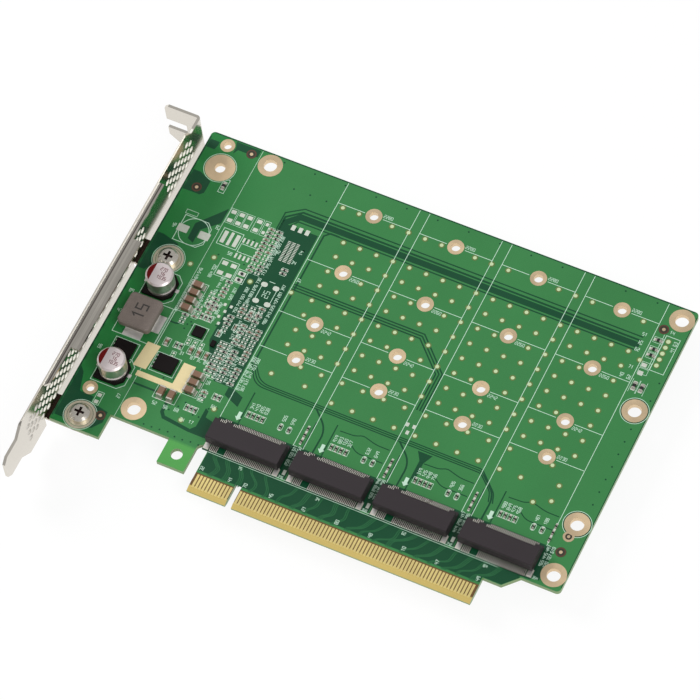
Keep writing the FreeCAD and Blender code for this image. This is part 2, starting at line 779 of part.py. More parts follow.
def build_socket_chips(number):
    """The row of resistors above one socket, and the capacitors at its end."""
    middle = value("drive_first + %d * drive_pitch" % (number - 1))
    up = value("socket_chip_up")
    row = [make_chip(middle + value("socket_chip_across + %d * socket_chip_pitch" % n), up)
           for n in range(int(value("socket_chip_count")))]
    nodes.append(solid_group("socket_resistors_%d" % number, row))
    singles = [make_chip(middle + value("single_chip_across + %d * single_chip_pitch" % n), up)
               for n in range(2)]
    side = middle + value("side_chip_last" if number == 4 else "side_chip_across")
    column = [make_chip(side, value("side_chip_up + %d * side_chip_pitch" % n))
              for n in range(int(value("side_chip_count")))]
    nodes.append(solid_group("socket_capacitors_%d" % number, singles + column))


# Rows of small parts round the power chips: first one across, height up the card, pitch, count, size
SMALL_ROWS = {
    "power_resistors": [(-33.2, 50.4, 1.3, 3, "chip"), (-33.2, 54.4, 1.3, 3, "chip"),
                        (-35.5, 39.4, 1.3, 2, "chip"), (-18.3, 29.0, 1.2, 2, "chip"),
                        (-23.9, 22.9, 1.2, 3, "chip")],
    "power_capacitors": [(-31.0, 39.4, 2.4, 3, "big_chip"), (-38.4, 39.2, 1.0, 1, "big_chip"),
                         (-26.3, 47.3, 1.0, 1, "chip"), (-22.9, 50.8, 1.0, 1, "chip"),
                         (-20.9, 56.5, 1.9, 2, "chip")],
}


def build_small_rows():
    """Small parts in short rows, one node for the resistors and one for the capacitors."""
    for label, rows in SMALL_ROWS.items():
        parts = [make_chip(across + n * pitch, up, size)
                 for across, up, pitch, count, size in rows for n in range(count)]
        nodes.append(solid_group(label, parts))


# ---------------------------------------------------------------- the whole card
nodes.append(build_board())
build_edge_contacts()
nodes.append(build_bracket())
nodes.append(build_screw("bracket_screw_lower", "ear_low"))
nodes.append(build_screw("bracket_screw_middle", "ear_middle"))
for socket_number in range(1, 5):
    nodes.append(build_socket(socket_number))
    build_socket_metal(socket_number)
build_capacitor(1, "can_one_up")
build_capacitor(2, "can_two_up")
build_inductor()
build_power_transistor(1, "power_one_across", "power_one_up")
build_power_transistor(2, "power_two_across", "power_two_up")
nodes.append(block("driver_chip", "driver_across", "driver_up", BOARD_TOP,
                   "driver_size", "driver_size", "driver_high"))
nodes.append(block("sensor_chip", "sensor_across", "sensor_up", BOARD_TOP,
                   "sensor_wide", "sensor_deep", "sensor_high"))
build_ceramics()
for socket_number in range(1, 5):
    build_socket_chips(socket_number)
build_small_rows()
doc.recompute()

for thing in doc.Objects:
    if "Invalid" in thing.State or "Error" in thing.State:
        raise RuntimeError("%s did not recompute: %s" % (thing.Label, thing.State))
for node in nodes:
    if node.Shape.isNull() or not node.Shape.isValid():
        raise RuntimeError("%s has no valid shape" % node.Label)
for node in nodes:
    node.Shape.exportStep("parts/%s.step" % node.Label)
print("%d sub-parts written" % len(nodes))
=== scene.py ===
"""Looks of a four-drive adapter card: green circuit board, vented bracket, drive sockets and power parts.

The card lies component side up.  X runs from the I/O bracket to the far end, Y from the edge
connector to the top edge, Z out of the component side.  Settings and finishes are in metres, and
the places and sizes of shapes are in millimetres.
"""

import math
import random

import bpy
from bpy.props import FloatProperty, FloatVectorProperty, PointerProperty
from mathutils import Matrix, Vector


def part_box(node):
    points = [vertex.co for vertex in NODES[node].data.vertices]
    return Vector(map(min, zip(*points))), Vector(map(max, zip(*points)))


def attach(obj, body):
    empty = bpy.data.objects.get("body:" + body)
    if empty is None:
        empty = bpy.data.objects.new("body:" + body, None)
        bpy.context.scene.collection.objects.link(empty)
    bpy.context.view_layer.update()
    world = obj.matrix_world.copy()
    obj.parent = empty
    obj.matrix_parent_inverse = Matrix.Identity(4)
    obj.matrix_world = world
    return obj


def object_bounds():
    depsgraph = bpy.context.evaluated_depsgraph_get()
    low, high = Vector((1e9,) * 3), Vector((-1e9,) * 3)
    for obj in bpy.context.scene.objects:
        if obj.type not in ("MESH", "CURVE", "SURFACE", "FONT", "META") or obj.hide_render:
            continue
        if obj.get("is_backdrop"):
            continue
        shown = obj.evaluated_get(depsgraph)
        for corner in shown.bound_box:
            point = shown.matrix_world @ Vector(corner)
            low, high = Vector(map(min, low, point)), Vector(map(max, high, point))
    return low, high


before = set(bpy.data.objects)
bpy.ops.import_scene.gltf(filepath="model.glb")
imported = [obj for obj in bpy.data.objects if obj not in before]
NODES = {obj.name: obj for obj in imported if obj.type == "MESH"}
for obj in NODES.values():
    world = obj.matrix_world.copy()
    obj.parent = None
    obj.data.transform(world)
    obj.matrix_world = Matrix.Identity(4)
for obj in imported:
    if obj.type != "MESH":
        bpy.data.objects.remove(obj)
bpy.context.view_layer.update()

bl_info = {
    "name": "Drive adapter card",
    "version": (1, 0, 0),
    "blender": (4, 5, 0),
    "location": "3D View > Sidebar > Adapter card",
    "description": "Dresses the packed adapter card and lights it for a picture",
    "category": "Object",
}

MM = 0.001
BODY = "root"
HAIR = 0.00005  # step between the heights of shapes that may cross, in millimetres


def box_mm(node):
    """Lowest and highest corner of a node, in millimetres."""
    low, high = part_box(node)
    return low / MM, high / MM


BOARD_LOW, BOARD_HIGH = box_mm("circuit_board")
TOP, UNDER = BOARD_HIGH.z, BOARD_LOW.z
LEFT, RIGHT, FAR = BOARD_LOW.x, BOARD_HIGH.x, BOARD_HIGH.y
SOCKETS = [box_mm("m2_socket_%d" % number) for number in range(1, 5)]
COLUMNS = [(low.x + high.x) / 2 for low, high in SOCKETS]
SOCKET_BACK, SOCKET_FRONT = SOCKETS[0][0].y, SOCKETS[0][1].y
SOCKET_TOE = 1.0  # how far the contacts' feet reach in front of a socket
JAW = 1.3  # how far a socket's shelf stands out past its roof
CONTACT_STEP = 0.5  # from one contact of a socket to the next
DRIVE_DATUM = SOCKET_BACK + 3.6  # the drives' lengths are counted from here
DRIVE_ROWS = {size: DRIVE_DATUM + size for size in (30, 42, 60, 80)}
DRIVE_HOLES = [(middle, up) for middle in COLUMNS for up in DRIVE_ROWS.values()]
COLUMN_HALF = 11.2  # half the width of a drive's printed frame
DRIVE_HOLE, LARGE_HOLE, EAR_HOLE, TOOLING_HOLE = 1.35, 2.0, 1.6, 1.2  # radii of the holes
FINGER_LOW, FINGER_HIGH = box_mm("edge_contacts_component_side")
SCREWS = [box_mm("bracket_screw_" + place) for place in ("lower", "middle")]
EARS = [((low + high) / 2)[:2] for low, high in SCREWS]
SIDE_HOLES = [(89.2, 33.1), (89.2, 71.0)]
LARGE_HOLES = [(-37.3, 16.7), (-37.3, 102.0), (89.7, 16.7), (89.7, 102.0)] + SIDE_HOLES
SPARE_EAR = (-50.1, 95.7)
TOOLING_HOLES = [(-51.4, 17.8), (-51.4, 103.2)]
FIDUCIALS = [(-43.9, 103.3), (-53.4, 87.4), (86.2, 97.5), (88.6, 23.7), (-44.8, 11.1)]
TARGET = (88.6, 28.8)

# Where finishes change, in metres: where the change starts and where it is whole.
SCREW_TOP = SCREWS[0][1].z * MM
# painted shade: the lacquer turns a darker green towards the bracket
BRACKET_SHADE_RAMP = (-0.030, -0.056)
HOOK_RIGHT, HOOK_TOP, HOOK_LEFT = (-0.0130, -0.0145), (0.0128, 0.0118), (-0.030, -0.029)
CONNECTOR_TOP, BEVEL_TOP = (0.00603, 0.00598), (0.00200, 0.00170)
LIP_HEIGHT, EAR_DEPTH, VENTS_PALER = (0.0138, 0.0140), (-0.0002, -0.0004), (0.0035, 0.0045)
RECESS_ROUND, RECESS_DEEP = (0.0019, 0.0017), (SCREW_TOP - 0.00045, SCREW_TOP - 0.0006)
# Stretches that a finish covers, in metres: their lowest and highest place.
CONNECTOR_ENDS, LIP_CREASE, EAR_ROOT = (-0.0127, 0.0727), (-0.0578, -0.0575), (-0.0588, -0.0570)
VENTS_ACROSS, VENTS_UP, VENTS_HIGH = (-0.0594, -0.0587), (-0.0060, 0.0985), (0.0008, 0.0124)
LIP_END = 0.0776  # where the wide lip ends, up the bracket


def colour(name, default, description):
    """A colour setting."""
    return FloatVectorProperty(name=name, description=description, default=default, size=3,
                               min=0, max=1, subtype="COLOR")


def length(name, default, description):
    """A length setting, in metres."""
    return FloatProperty(name=name, description=description, default=default, unit="LENGTH",
                         precision=5)


def amount(name, default, description, high=1.0):
    """A plain number setting."""
    return FloatProperty(name=name, description=description, default=default, min=0, max=high)


# ---------------------------------------------------------------- outlines
def circle(across, up, radius, count=32):
    """Points round a circle."""
    return [(across + radius * math.cos(2 * math.pi * n / count),
             up + radius * math.sin(2 * math.pi * n / count)) for n in range(count)]


def rectangle(left, low, right, high):
    """Corners of an upright rectangle."""
    return [(left, low), (right, low), (right, high), (left, high)]


def rounded(across, up, wide, deep, radius, steps=4):
    """A rectangle about a middle point, with rounded corners."""
    points = []
    for quarter, (sx, sy) in enumerate(((1, 1), (-1, 1), (-1, -1), (1, -1))):
        middle = (across + sx * (wide / 2 - radius), up + sy * (deep / 2 - radius))
        for step in range(steps + 1):
            angle = math.pi / 2 * (quarter + step / steps)
            points.append((middle[0] + radius * math.cos(angle), middle[1] + radius * math.sin(angle)))
    return points


def area(outline):
    """Signed area of an outline, above zero when it runs anticlockwise."""
    return sum(a[0] * b[1] - b[0] * a[1] for a, b in zip(outline, outline[1:] + outline[:1])) / 2


def offset_line(points, half, closed):
    """The two sides of a line of even width."""
    left, right = [], []
    count = len(points)
    for n, (x, y) in enumerate(points):
        ways = []
        if closed or n > 0:
            before = points[(n - 1) % count]
            ways.append(Vector((x - before[0], y - before[1])).normalized())
        if closed or n < count - 1:
            after = points[(n + 1) % count]
            ways.append(Vector((after[0] - x, after[1] - y)).normalized())
        normals = [Vector((-way.y, way.x)) for way in ways]
        middle = sum(normals, Vector((0, 0))).normalized()
        reach = half / max(0.35, middle.dot(normals[0]))
        left.append((x + middle.x * reach, y + middle.y * reach))
        right.append((x - middle.x * reach, y - middle.y * reach))
    return left, right


def bend(points, radius, steps=6):
    """Round the corners of a line."""
    out = [points[0]]
    for before, corner, after in zip(points, points[1:], points[2:]):
        corner = Vector(corner)
        back, ahead = Vector(before) - corner, Vector(after) - corner
        reach = min(radius, back.length * 0.45, ahead.length * 0.45)
        start, end = corner + back.normalized() * reach, corner + ahead.normalized() * reach
        for step in range(steps + 1):
            t = step / steps
            place = start * (1 - t) ** 2 + corner * (2 * t * (1 - t)) + end * t ** 2
            out.append((place.x, place.y))
    return out + [points[-1]]


def loose_boxes(node):
    """Low and high corners of each separate solid in a node, in millimetres."""
    mesh = NODES[node].data
    keys = {}
    owner = [keys.setdefault(tuple(round(c / MM, 3) for c in vertex.co), len(keys))
             for vertex in mesh.vertices]
    parent = list(range(len(keys)))

    def top_of(n):
        while parent[n] != n:
            parent[n] = parent[parent[n]]
            n = parent[n]
        return n

    for polygon in mesh.polygons:
        first = top_of(owner[polygon.vertices[0]])
        for vertex in polygon.vertices[1:]:
            parent[top_of(owner[vertex])] = first
    groups = {}
    for place, n in keys.items():
        groups.setdefault(top_of(n), []).append(place)
    return [(Vector(map(min, zip(*places))), Vector(map(max, zip(*places))))
            for places in groups.values()]


# ---------------------------------------------------------------- shapes
DIGITS = {
    "0": [[(0, 0), (1, 0), (1, 2), (0, 2), (0, 0)]],
    "1": [[(0.1, 1.5), (0.6, 2), (0.6, 0)]],
    "2": [[(0, 2), (1, 2), (1, 1), (0, 1), (0, 0), (1, 0)]],
    "3": [[(0, 2), (1, 2), (1, 0), (0, 0)], [(0.3, 1), (1, 1)]],
    "4": [[(0, 2), (0, 1), (1, 1)], [(1, 2), (1, 0)]],
    "5": [[(1, 2), (0, 2), (0, 1), (1, 1), (1, 0), (0, 0)]],
    "6": [[(1, 2), (0, 2), (0, 0), (1, 0), (1, 1), (0, 1)]],
    "7": [[(0, 2), (1, 2), (0.4, 0)]],
    "8": [[(0, 0), (1, 0), (1, 2), (0, 2), (0, 0)], [(0, 1), (1, 1)]],
    "9": [[(1, 0), (1, 2), (0, 2), (0, 1), (1, 1)]],
}


class Relief:
    """Thin raised shapes gathered into one mesh, from one height to another."""

    def __init__(self, low, high):
        self.low, self.high = low, high
        self.points, self.faces = [], []
        self.shapes = 0

    def next_high(self):
        """A height a hair over the last one, so that shapes that cross don't share a plane."""
        self.shapes = (self.shapes + 1) % 16
        return self.high + math.copysign(self.shapes * HAIR, self.high - self.low)

    def stack(self, layers, lid=True):
        """Outlines at heights, joined by walls and closed by a lid; gives the first point's number."""
        first, count = len(self.points), len(layers[0][0])
        for outline, height in layers:
            self.points += [(x, y, height) for x, y in outline]
        last = len(self.points) - count
        for start in range(first, last, count):
            self.faces += [[start + n, start + (n + 1) % count, start + count + (n + 1) % count,
                            start + count + n] for n in range(count)]
        if lid:
            self.faces.append([last + n for n in range(count)])
        return first

    def add(self, outline):
        """One closed shape with its edge."""
        if (area(outline) < 0) == (self.high > self.low):
            outline = outline[::-1]
        first, count = len(self.points), len(outline)
        self.faces.append([first + count + n for n in range(count)])
        self.stack([(outline, self.low), (outline, self.next_high())], lid=False)

    def ring(self, outer, inner):
        """A shape with a hole; both outlines have the same number of points."""
        if (area(outer) < 0) == (self.high > self.low):
            outer, inner = outer[::-1], inner[::-1]
        high = self.next_high()
        self.stack([(outer, self.low), (outer, high), (inner, high), (inner, self.low)], lid=False)

    def line(self, points, wide, closed=False):
        """A line of even width along some points."""
        left, right = offset_line(points, wide / 2, closed)
        if not closed:
            self.add(left + right[::-1])
        elif abs(area(left)) > abs(area(right)):
            self.ring(left, right)
        else:
            self.ring(right, left)

    def stroke(self, left, low, right, high, wide):
        """A straight line between two points."""
        self.line([(left, low), (right, high)], wide)

    def frame(self, left, low, right, high, wide):
        """The outline of an upright rectangle."""
        self.line(rectangle(left, low, right, high), wide, closed=True)

    def patch(self, across, up, wide, deep):
        """An upright rectangle about a middle point."""
        self.add(rectangle(across - wide / 2, up - deep / 2, across + wide / 2, up + deep / 2))

    def discs(self, places, radius, count=32):
        """Round shapes, all of one size."""
        for place in places:
            self.add(circle(*place, radius, count))

    def washers(self, places, outer, inner, count=32):
        """Round shapes with a round hole, all of one size."""
        for place in places:
            self.ring(circle(*place, outer, count), circle(*place, inner, count))

    def number(self, value, across, up, high, turn=0, wide=0.13):
        """Plain figures in thin strokes, centred on a point and turned by whole quarters."""
        text = str(value)
        step = high * 0.78
        start = -step * (len(text) - 1) / 2 - high / 4
        angle = math.radians(90 * turn)
        for place, figure in enumerate(text):
            for stroke in DIGITS[figure]:
                points = []
                for x, y in stroke:
                    u, v = start + place * step + x * high / 2, (y - 1) * high / 2
                    points.append((across + u * math.cos(angle) - v * math.sin(angle),
                                   up + u * math.sin(angle) + v * math.cos(angle)))
                self.line(points, wide)

    def build(self, name, finish, slot):
        """Turn what was gathered into one piece that rides on the card."""
        mesh = bpy.data.meshes.new(name)
        mesh.from_pydata([Vector(point) * MM for point in self.points], [], self.faces)
        mesh.materials.append(finish_of(finish))
        mesh.update()
        piece = bpy.data.objects.new(name, mesh)
        bpy.context.scene.collection.objects.link(piece)
        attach(piece, BODY)


class Solids(Relief):
    """Small solid parts gathered into one mesh."""

    def __init__(self):
        super().__init__(TOP, TOP)

    def brick(self, low, high, bevel=0.0):
        """A block, with its top edges cut back when a bevel is given."""
        outline = rectangle(low[0], low[1], high[0], high[1])
        layers = [(outline, low[2]), (outline, high[2] - bevel)]
        if bevel:
            layers.append((rectangle(low[0] + bevel, low[1] + bevel, high[0] - bevel,
                                     high[1] - bevel), high[2]))
        first = self.stack(layers)
        self.faces.append([first + n for n in (3, 2, 1, 0)])

    def wedge(self, corner, out, side, high):
        """A sloped fillet of solder that falls from a height to nothing along one way."""
        out, side, up = out.to_3d(), side.to_3d(), Vector((0, 0, high))
        first, other = len(self.points), corner + side
        self.points += [tuple(point) for point in (
            corner, other, corner + up, other + up, corner + out * 0.45 + up * 0.42,
            other + out * 0.45 + up * 0.42, corner + out, other + out)]
        faces = [(2, 4, 5, 3), (4, 6, 7, 5), (0, 6, 4, 2), (1, 3, 5, 7)]
        if out.cross(side).z < 0:
            faces = [face[::-1] for face in faces]
        self.faces += [[first + n for n in face] for face in faces]

    def lathe(self, place, profile, count):
        """A turned shape: radius and height pairs, from the bottom up."""
        self.stack([(circle(*place, radius, count), height) for radius, height in profile])


def on_board(share=1.0, side=1):
    """Thin shapes on one side of the board, with a share of the usual height."""
    surface = TOP if side > 0 else UNDER
    return Relief(surface, surface + side * settings("card_board").raised / MM * share)


# ---------------------------------------------------------------- finishes
class Tree:
    """The nodes of a material or shared effect, with short ways to add and join them."""

    def __init__(self, tree):
        self.tree, self.nodes, self.links = tree, tree.nodes, tree.links

    def feed(self, socket, value):
        """Put a number, a colour or the output of another node into a socket."""
        if isinstance(value, bpy.types.NodeSocket):
            self.links.new(value, socket)
        elif socket.type == "RGBA":
            socket.default_value = (*value, 1.0)
        else:
            socket.default_value = value

    def add(self, kind, given=(), **choices):
        """A node with its choices made and its sockets fed, in their order or by name."""
        node = self.nodes.new("ShaderNode" + kind)
        for name, choice in choices.items():
            setattr(node, name, choice)
        for key, value in given.items() if isinstance(given, dict) else enumerate(given):
            self.feed(node.inputs[key], value)
        return node

    def place(self):
        """Where a point of the surface is, in metres."""
        return self.add("TexCoord").outputs["Object"]

    def parts(self, vector):
        """The three parts of a vector."""
        return self.add("SeparateXYZ", [vector]).outputs[:]

    def facing(self):
        """The three parts of the way the surface faces."""
        return self.parts(self.add("NewGeometry").outputs["Normal"])

    def noise(self, vector, scale, detail=2.0, rough=0.5):
        """Soft random unevenness over a place."""
        return self.add("TexNoise", {"Vector": vector, "Scale": scale, "Detail": detail,
                                     "Roughness": rough}).outputs["Fac"]

    def spread(self, value, low, high, new_low=0.0, new_high=1.0):
        """Stretch a value from one range onto another."""
        return self.add("MapRange", {"Value": value, "From Min": low, "From Max": high,
                                     "To Min": new_low, "To Max": new_high}).outputs["Result"]

    def within(self, value, low, high, soft):
        """One between two places and nothing outside, with soft edges."""
        return self.times(self.spread(value, low - soft, low + soft),
                          self.spread(value, high + soft, high - soft))

    def sum(self, kind, first, second=0.0):
        """One sum on two values."""
        return self.add("Math", (first, second), operation=kind).outputs[0]

    def times(self, first, *others):
        """The product of some values."""
        for other in others:
            first = self.sum("MULTIPLY", first, other)
        return first

    def mix(self, factor, first, second, kind="MIX"):
        """Blend two colours."""
        return self.add("Mix", {0: factor, 6: first, 7: second}, data_type="RGBA",
                        blend_type=kind).outputs[2]

    def toned(self, base, tone):
        """A colour made lighter and darker by a tone."""
        return self.mix(1.0, base, self.add("CombineColor", (tone,) * 3).outputs[0], "MULTIPLY")

    def effect(self, maker, **values):
        """A shared effect, made the first time that it is asked for, with its own values."""
        if maker not in EFFECTS:
            EFFECTS[maker] = maker()
        node = self.add("Group", node_tree=EFFECTS[maker])
        for name, value in values.items():
            self.feed(node.inputs[name.replace("_", " ")], value)
        return node.outputs[0]


EFFECTS = {}


def new_group(name, result, **values):
    """Start a shared effect: its nodes, its values as outputs, and the socket of its result."""
    group = bpy.data.node_groups.new(name, "ShaderNodeTree")
    for label, value in values.items():
        kind = "NodeSocketVector" if isinstance(value, tuple) else "NodeSocketFloat"
        socket = group.interface.new_socket(label.replace("_", " "), in_out="INPUT", socket_type=kind)
        socket.default_value = value
    group.interface.new_socket(result, in_out="OUTPUT", socket_type="NodeSocketFloat")
    start, end = group.nodes.new("NodeGroupInput"), group.nodes.new("NodeGroupOutput")
    return Tree(group), start.outputs, end.inputs[0]


def mottle():
    """Slow unevenness of tone over a surface, with fine specks."""
    tree, given, end = new_group("Uneven tone", "Tone", Size=60.0, Amount=0.15, Speck_Size=2500.0,
                                 Speck_Amount=0.05)
    place = tree.place()
    slow = tree.sum("SUBTRACT", tree.noise(place, given["Size"], 3.0), 0.5)
    fine = tree.sum("SUBTRACT", tree.noise(place, given["Speck Size"], 1.0), 0.5)
    both = tree.sum("ADD", tree.times(slow, given["Amount"]), tree.times(fine, given["Speck Amount"]))
    tree.feed(end, tree.sum("ADD", both, 1.0))
    return tree.tree


def handling():
    """Smudges and faint rubs that change how sharply a surface shines."""
    tree, given, end = new_group("Handling marks", "Roughness", Roughness=0.3, Smudge=0.1, Size=90.0)
    smudge = tree.spread(tree.noise(tree.place(), given["Size"], 4.0, 0.6), 0.35, 0.75)
    tree.feed(end, tree.sum("ADD", given["Roughness"], tree.times(smudge, given["Smudge"])))
    return tree.tree


def grain():
    """Fine grain as a height, round or drawn out along one way."""
    tree, given, end = new_group("Fine grain", "Height", Scale=3000.0, Stretch=(1.0, 1.0, 1.0))
    drawn = tree.add("VectorMath", (tree.place(), given["Stretch"]), operation="MULTIPLY")
    tree.feed(end, tree.noise(drawn.outputs[0], given["Scale"]))
    return tree.tree


class Finish(Tree):
    """A material, whose even values sit on its main shader."""

    def __init__(self, name, rough, metal=0.0, coat=0.0, specular=0.5):
        self.material = bpy.data.materials.new(name)
        self.material.use_nodes = True
        super().__init__(self.material.node_tree)
        self.shader = self.nodes["Principled BSDF"]
        self.put(Roughness=rough, Metallic=metal, Coat_Weight=coat, Coat_Roughness=0.12,
                 Specular_IOR_Level=specular)

    def put(self, **values):
        """Feed sockets of the main shader."""
        for name, value in values.items():
            self.feed(self.shader.inputs[name.replace("_", " ")], value)

    def bump(self, height, strength, distance):
        """Turn a height into relief."""
        bump = self.add("Bump", {"Strength": strength, "Distance": distance, "Height": height})
        self.put(Normal=bump.outputs["Normal"])


def plain_finish(name, base, rough, metal=0.0, coat=0.0, unevenness=0.12, patches=120.0, specks=0.08,
                 speck_size=3000.0, smudge=0.1, scale=3000.0, depth=0.000004,
                 stretch=(1.0, 1.0, 1.0), specular=0.5):
    """A finish with uneven tone, handling marks and fine grain."""
    look = Finish(name, rough, metal, coat, specular)
    tone = look.effect(mottle, Size=patches, Amount=unevenness, Speck_Size=speck_size,
                       Speck_Amount=specks)
    look.put(Base_Color=look.toned(base, tone),
             Roughness=look.effect(handling, Roughness=rough, Smudge=smudge))
    look.bump(look.effect(grain, Scale=scale, Stretch=stretch), 0.5, depth)
    return look.material


def lacquer_finish(name, face, edge, deep, hook, rough=0.3, weave=0.03):
    """Green lacquer over woven laminate, with bare laminate at cut edges and at the connector, and a
    darker green towards the bracket as painted shade.
    """
    board = settings("card_board")
    look = Finish(name, rough, coat=0.05, specular=0.3)
    place = look.place()
    x, y, _ = look.parts(place)
    cloth = look.times(*[
        look.add("TexWave", {"Scale": 520.0, "Distortion": 2.5, "Detail": 1.0, "Vector": place},
                 bands_direction=way).outputs["Fac"] for way in ("X", "Y")])
    tone = look.effect(mottle, Size=35.0, Amount=0.25, Speck_Size=1500.0, Speck_Amount=0.08)
    tone = look.sum("ADD", tone, look.spread(cloth, 0.0, 1.0, -weave, weave))
    # painted shade of the bracket: the lacquer darkens over the board's end by the bracket
    face = look.mix(look.spread(x, *BRACKET_SHADE_RAMP), face, deep)
    tab = look.times(look.spread(x, *HOOK_RIGHT), look.spread(y, *HOOK_TOP), look.spread(x, *HOOK_LEFT))
    face = look.toned(look.mix(tab, face, hook), tone)
    connector = look.times(look.within(x, *CONNECTOR_ENDS, 0.00001), look.spread(y, *CONNECTOR_TOP))
    bare = look.toned(look.mix(look.spread(y, *BEVEL_TOP), board.bare, board.bevel), tone)
    face = look.mix(connector, face, bare)
    flat = look.sum("GREATER_THAN", look.sum("ABSOLUTE", look.facing()[2]), 0.6)
    layers = look.add("TexWave", {"Scale": 900.0, "Distortion": 2.0, "Vector": place},
                      bands_direction="Z").outputs["Fac"]
    cut = look.toned(edge, look.spread(layers, 0.0, 1.0, 0.8, 1.12))
    look.put(Base_Color=look.mix(flat, cut, face),
             Roughness=look.effect(handling, Roughness=rough, Smudge=0.14, Size=60.0))
    look.bump(cloth, 0.3, 0.000008)
    return look.material


def sheet_finish(name, base, rough):
    """Plated sheet: the lip darkened as painted shade with streaky rolled grain, a painted shade line
    along its bend, cut walls in the vents painted pale as painted light, painted brown shade on the ears.
    """
    look = Finish(name, rough, 1.0)
    x, y, z = look.parts(look.place())
    across, _, out = look.facing()
    tone = look.effect(mottle, Size=40.0, Amount=0.06, Speck_Size=3000.0, Speck_Amount=0.03)
    rolled = look.effect(grain, Scale=700.0, Stretch=(1.0, 0.012, 1.0))
    # the lip is darkened overall as painted shade, with streaky rolled grain over it
    streaks_and_shade = look.spread(rolled, 0.35, 0.65, 0.42, 0.86)
    lip = look.times(look.spread(z, *LIP_HEIGHT), look.sum("LESS_THAN", y, LIP_END),
                     look.sum("LESS_THAN", across, 0.5))
    # painted shade: a dark line along the lip's bend
    crease_shade = look.times(lip, look.within(x, *LIP_CREASE, 0.00012))
    plain = look.sum("SUBTRACT", 1.0, lip)
    tone = look.times(tone, look.sum("ADD", plain, look.times(lip, streaks_and_shade)))
    face = look.mix(crease_shade, look.toned(base, tone), (0.075, 0.055, 0.048))
    # painted shade: dark brown on the ears' upward faces in the gap by the board's edge
    ears = look.times(look.within(x, *EAR_ROOT, 0.0001), look.sum("GREATER_THAN", out, 0.5),
                      look.spread(z, *EAR_DEPTH))
    face = look.mix(ears, face, (0.05, 0.032, 0.025))
    side = look.sum("LESS_THAN", look.sum("ABSOLUTE", across), 0.5)
    vents = look.times(look.within(z, *VENTS_HIGH, 0.0002), look.within(x, *VENTS_ACROSS, 0.00003),
                       look.within(y, *VENTS_UP, 0.0002))
    # painted light: the vents' cut walls are a pale colour and not metal, standing for the light seen
    # through the vents; darker towards the connector end
    walls = look.times(side, vents)
    pale = look.mix(look.spread(y, *VENTS_PALER), (0.55, 0.53, 0.49), (0.78, 0.77, 0.70))
    fold = look.times(look.spread(z, *LIP_HEIGHT), look.spread(across, -0.05, -0.25))
    dull = look.effect(handling, Roughness=rough, Smudge=0.07)
    look.put(Base_Color=look.mix(walls, face, pale), Metallic=look.sum("SUBTRACT", 1.0, walls),
             Roughness=look.sum("ADD", dull, look.times(fold, 0.4)))
    look.bump(look.effect(grain, Scale=900.0, Stretch=(1.0, 0.05, 1.0)), 0.5, 0.000003)
    return look.material


def screw_finish(name, base, rough):
    """Plated screw with painted shade in its driver recess."""
    look = Finish(name, rough, 1.0)
    x, y, z = look.parts(look.place())
    flat = look.add("CombineXYZ", (x, y)).outputs[0]
    near = []
    for across, up in EARS:
        middle = (across * MM, up * MM, 0.0)
        away = look.add("VectorMath", (flat, middle), operation="DISTANCE").outputs["Value"]
        near.append(look.spread(away, *RECESS_ROUND))
    steep = look.spread(look.facing()[2], 0.93, 0.80)
    deep = look.spread(z, *RECESS_DEEP)
    # painted shade: the driver recess is coloured dark
    recess = look.times(look.sum("MAXIMUM", *near), look.sum("MAXIMUM", steep, deep))
    tone = look.effect(mottle, Size=400.0, Amount=0.2, Speck_Size=3000.0, Speck_Amount=0.1)
    look.put(Base_Color=look.mix(recess, look.toned(base, tone), (0.12, 0.085, 0.078)),
             Roughness=look.effect(handling, Roughness=rough, Smudge=0.15))
    look.bump(look.effect(grain, Scale=3000.0), 0.5, 0.000004)
    return look.material


# ---------------------------------------------------------------- settings
class StageSettings(bpy.types.PropertyGroup):
    """Camera, lamps and floor."""
    eye: FloatVectorProperty(name="Camera place", description="Where the camera stands", size=3,
                             default=(0.34433, -0.45834, 1.08555), subtype="TRANSLATION", unit="LENGTH")
    turn: FloatVectorProperty(name="Camera turn", description="Which way the camera points", size=3,
                              default=(math.radians(29.2796), math.radians(4.0883),
                                       math.radians(25.7622)), subtype="EULER", unit="ROTATION")
    lens: amount("Lens", 232.14, "Focal length in millimetres on a 36 mm wide sensor", 600.0)
    floor_colour: colour("Floor", (0.93, 0.93, 0.93), "Colour of the floor")
    floor_glow: amount("Floor glow", 0.9, "How far the camera and metal see the floor as white")
    gap: length("Gap", 0.00005, "Space between the lowest point and the floor")
    world_level: amount("Sky level", 0.5, "Strength of the even light from all round", 5.0)
    key_power: amount("Main lamp", 9.0, "Power of the large lamp above, in watts", 500.0)
    fill_power: amount("Side lamp", 6.8, "Power of the lamp at the side, in watts", 500.0)


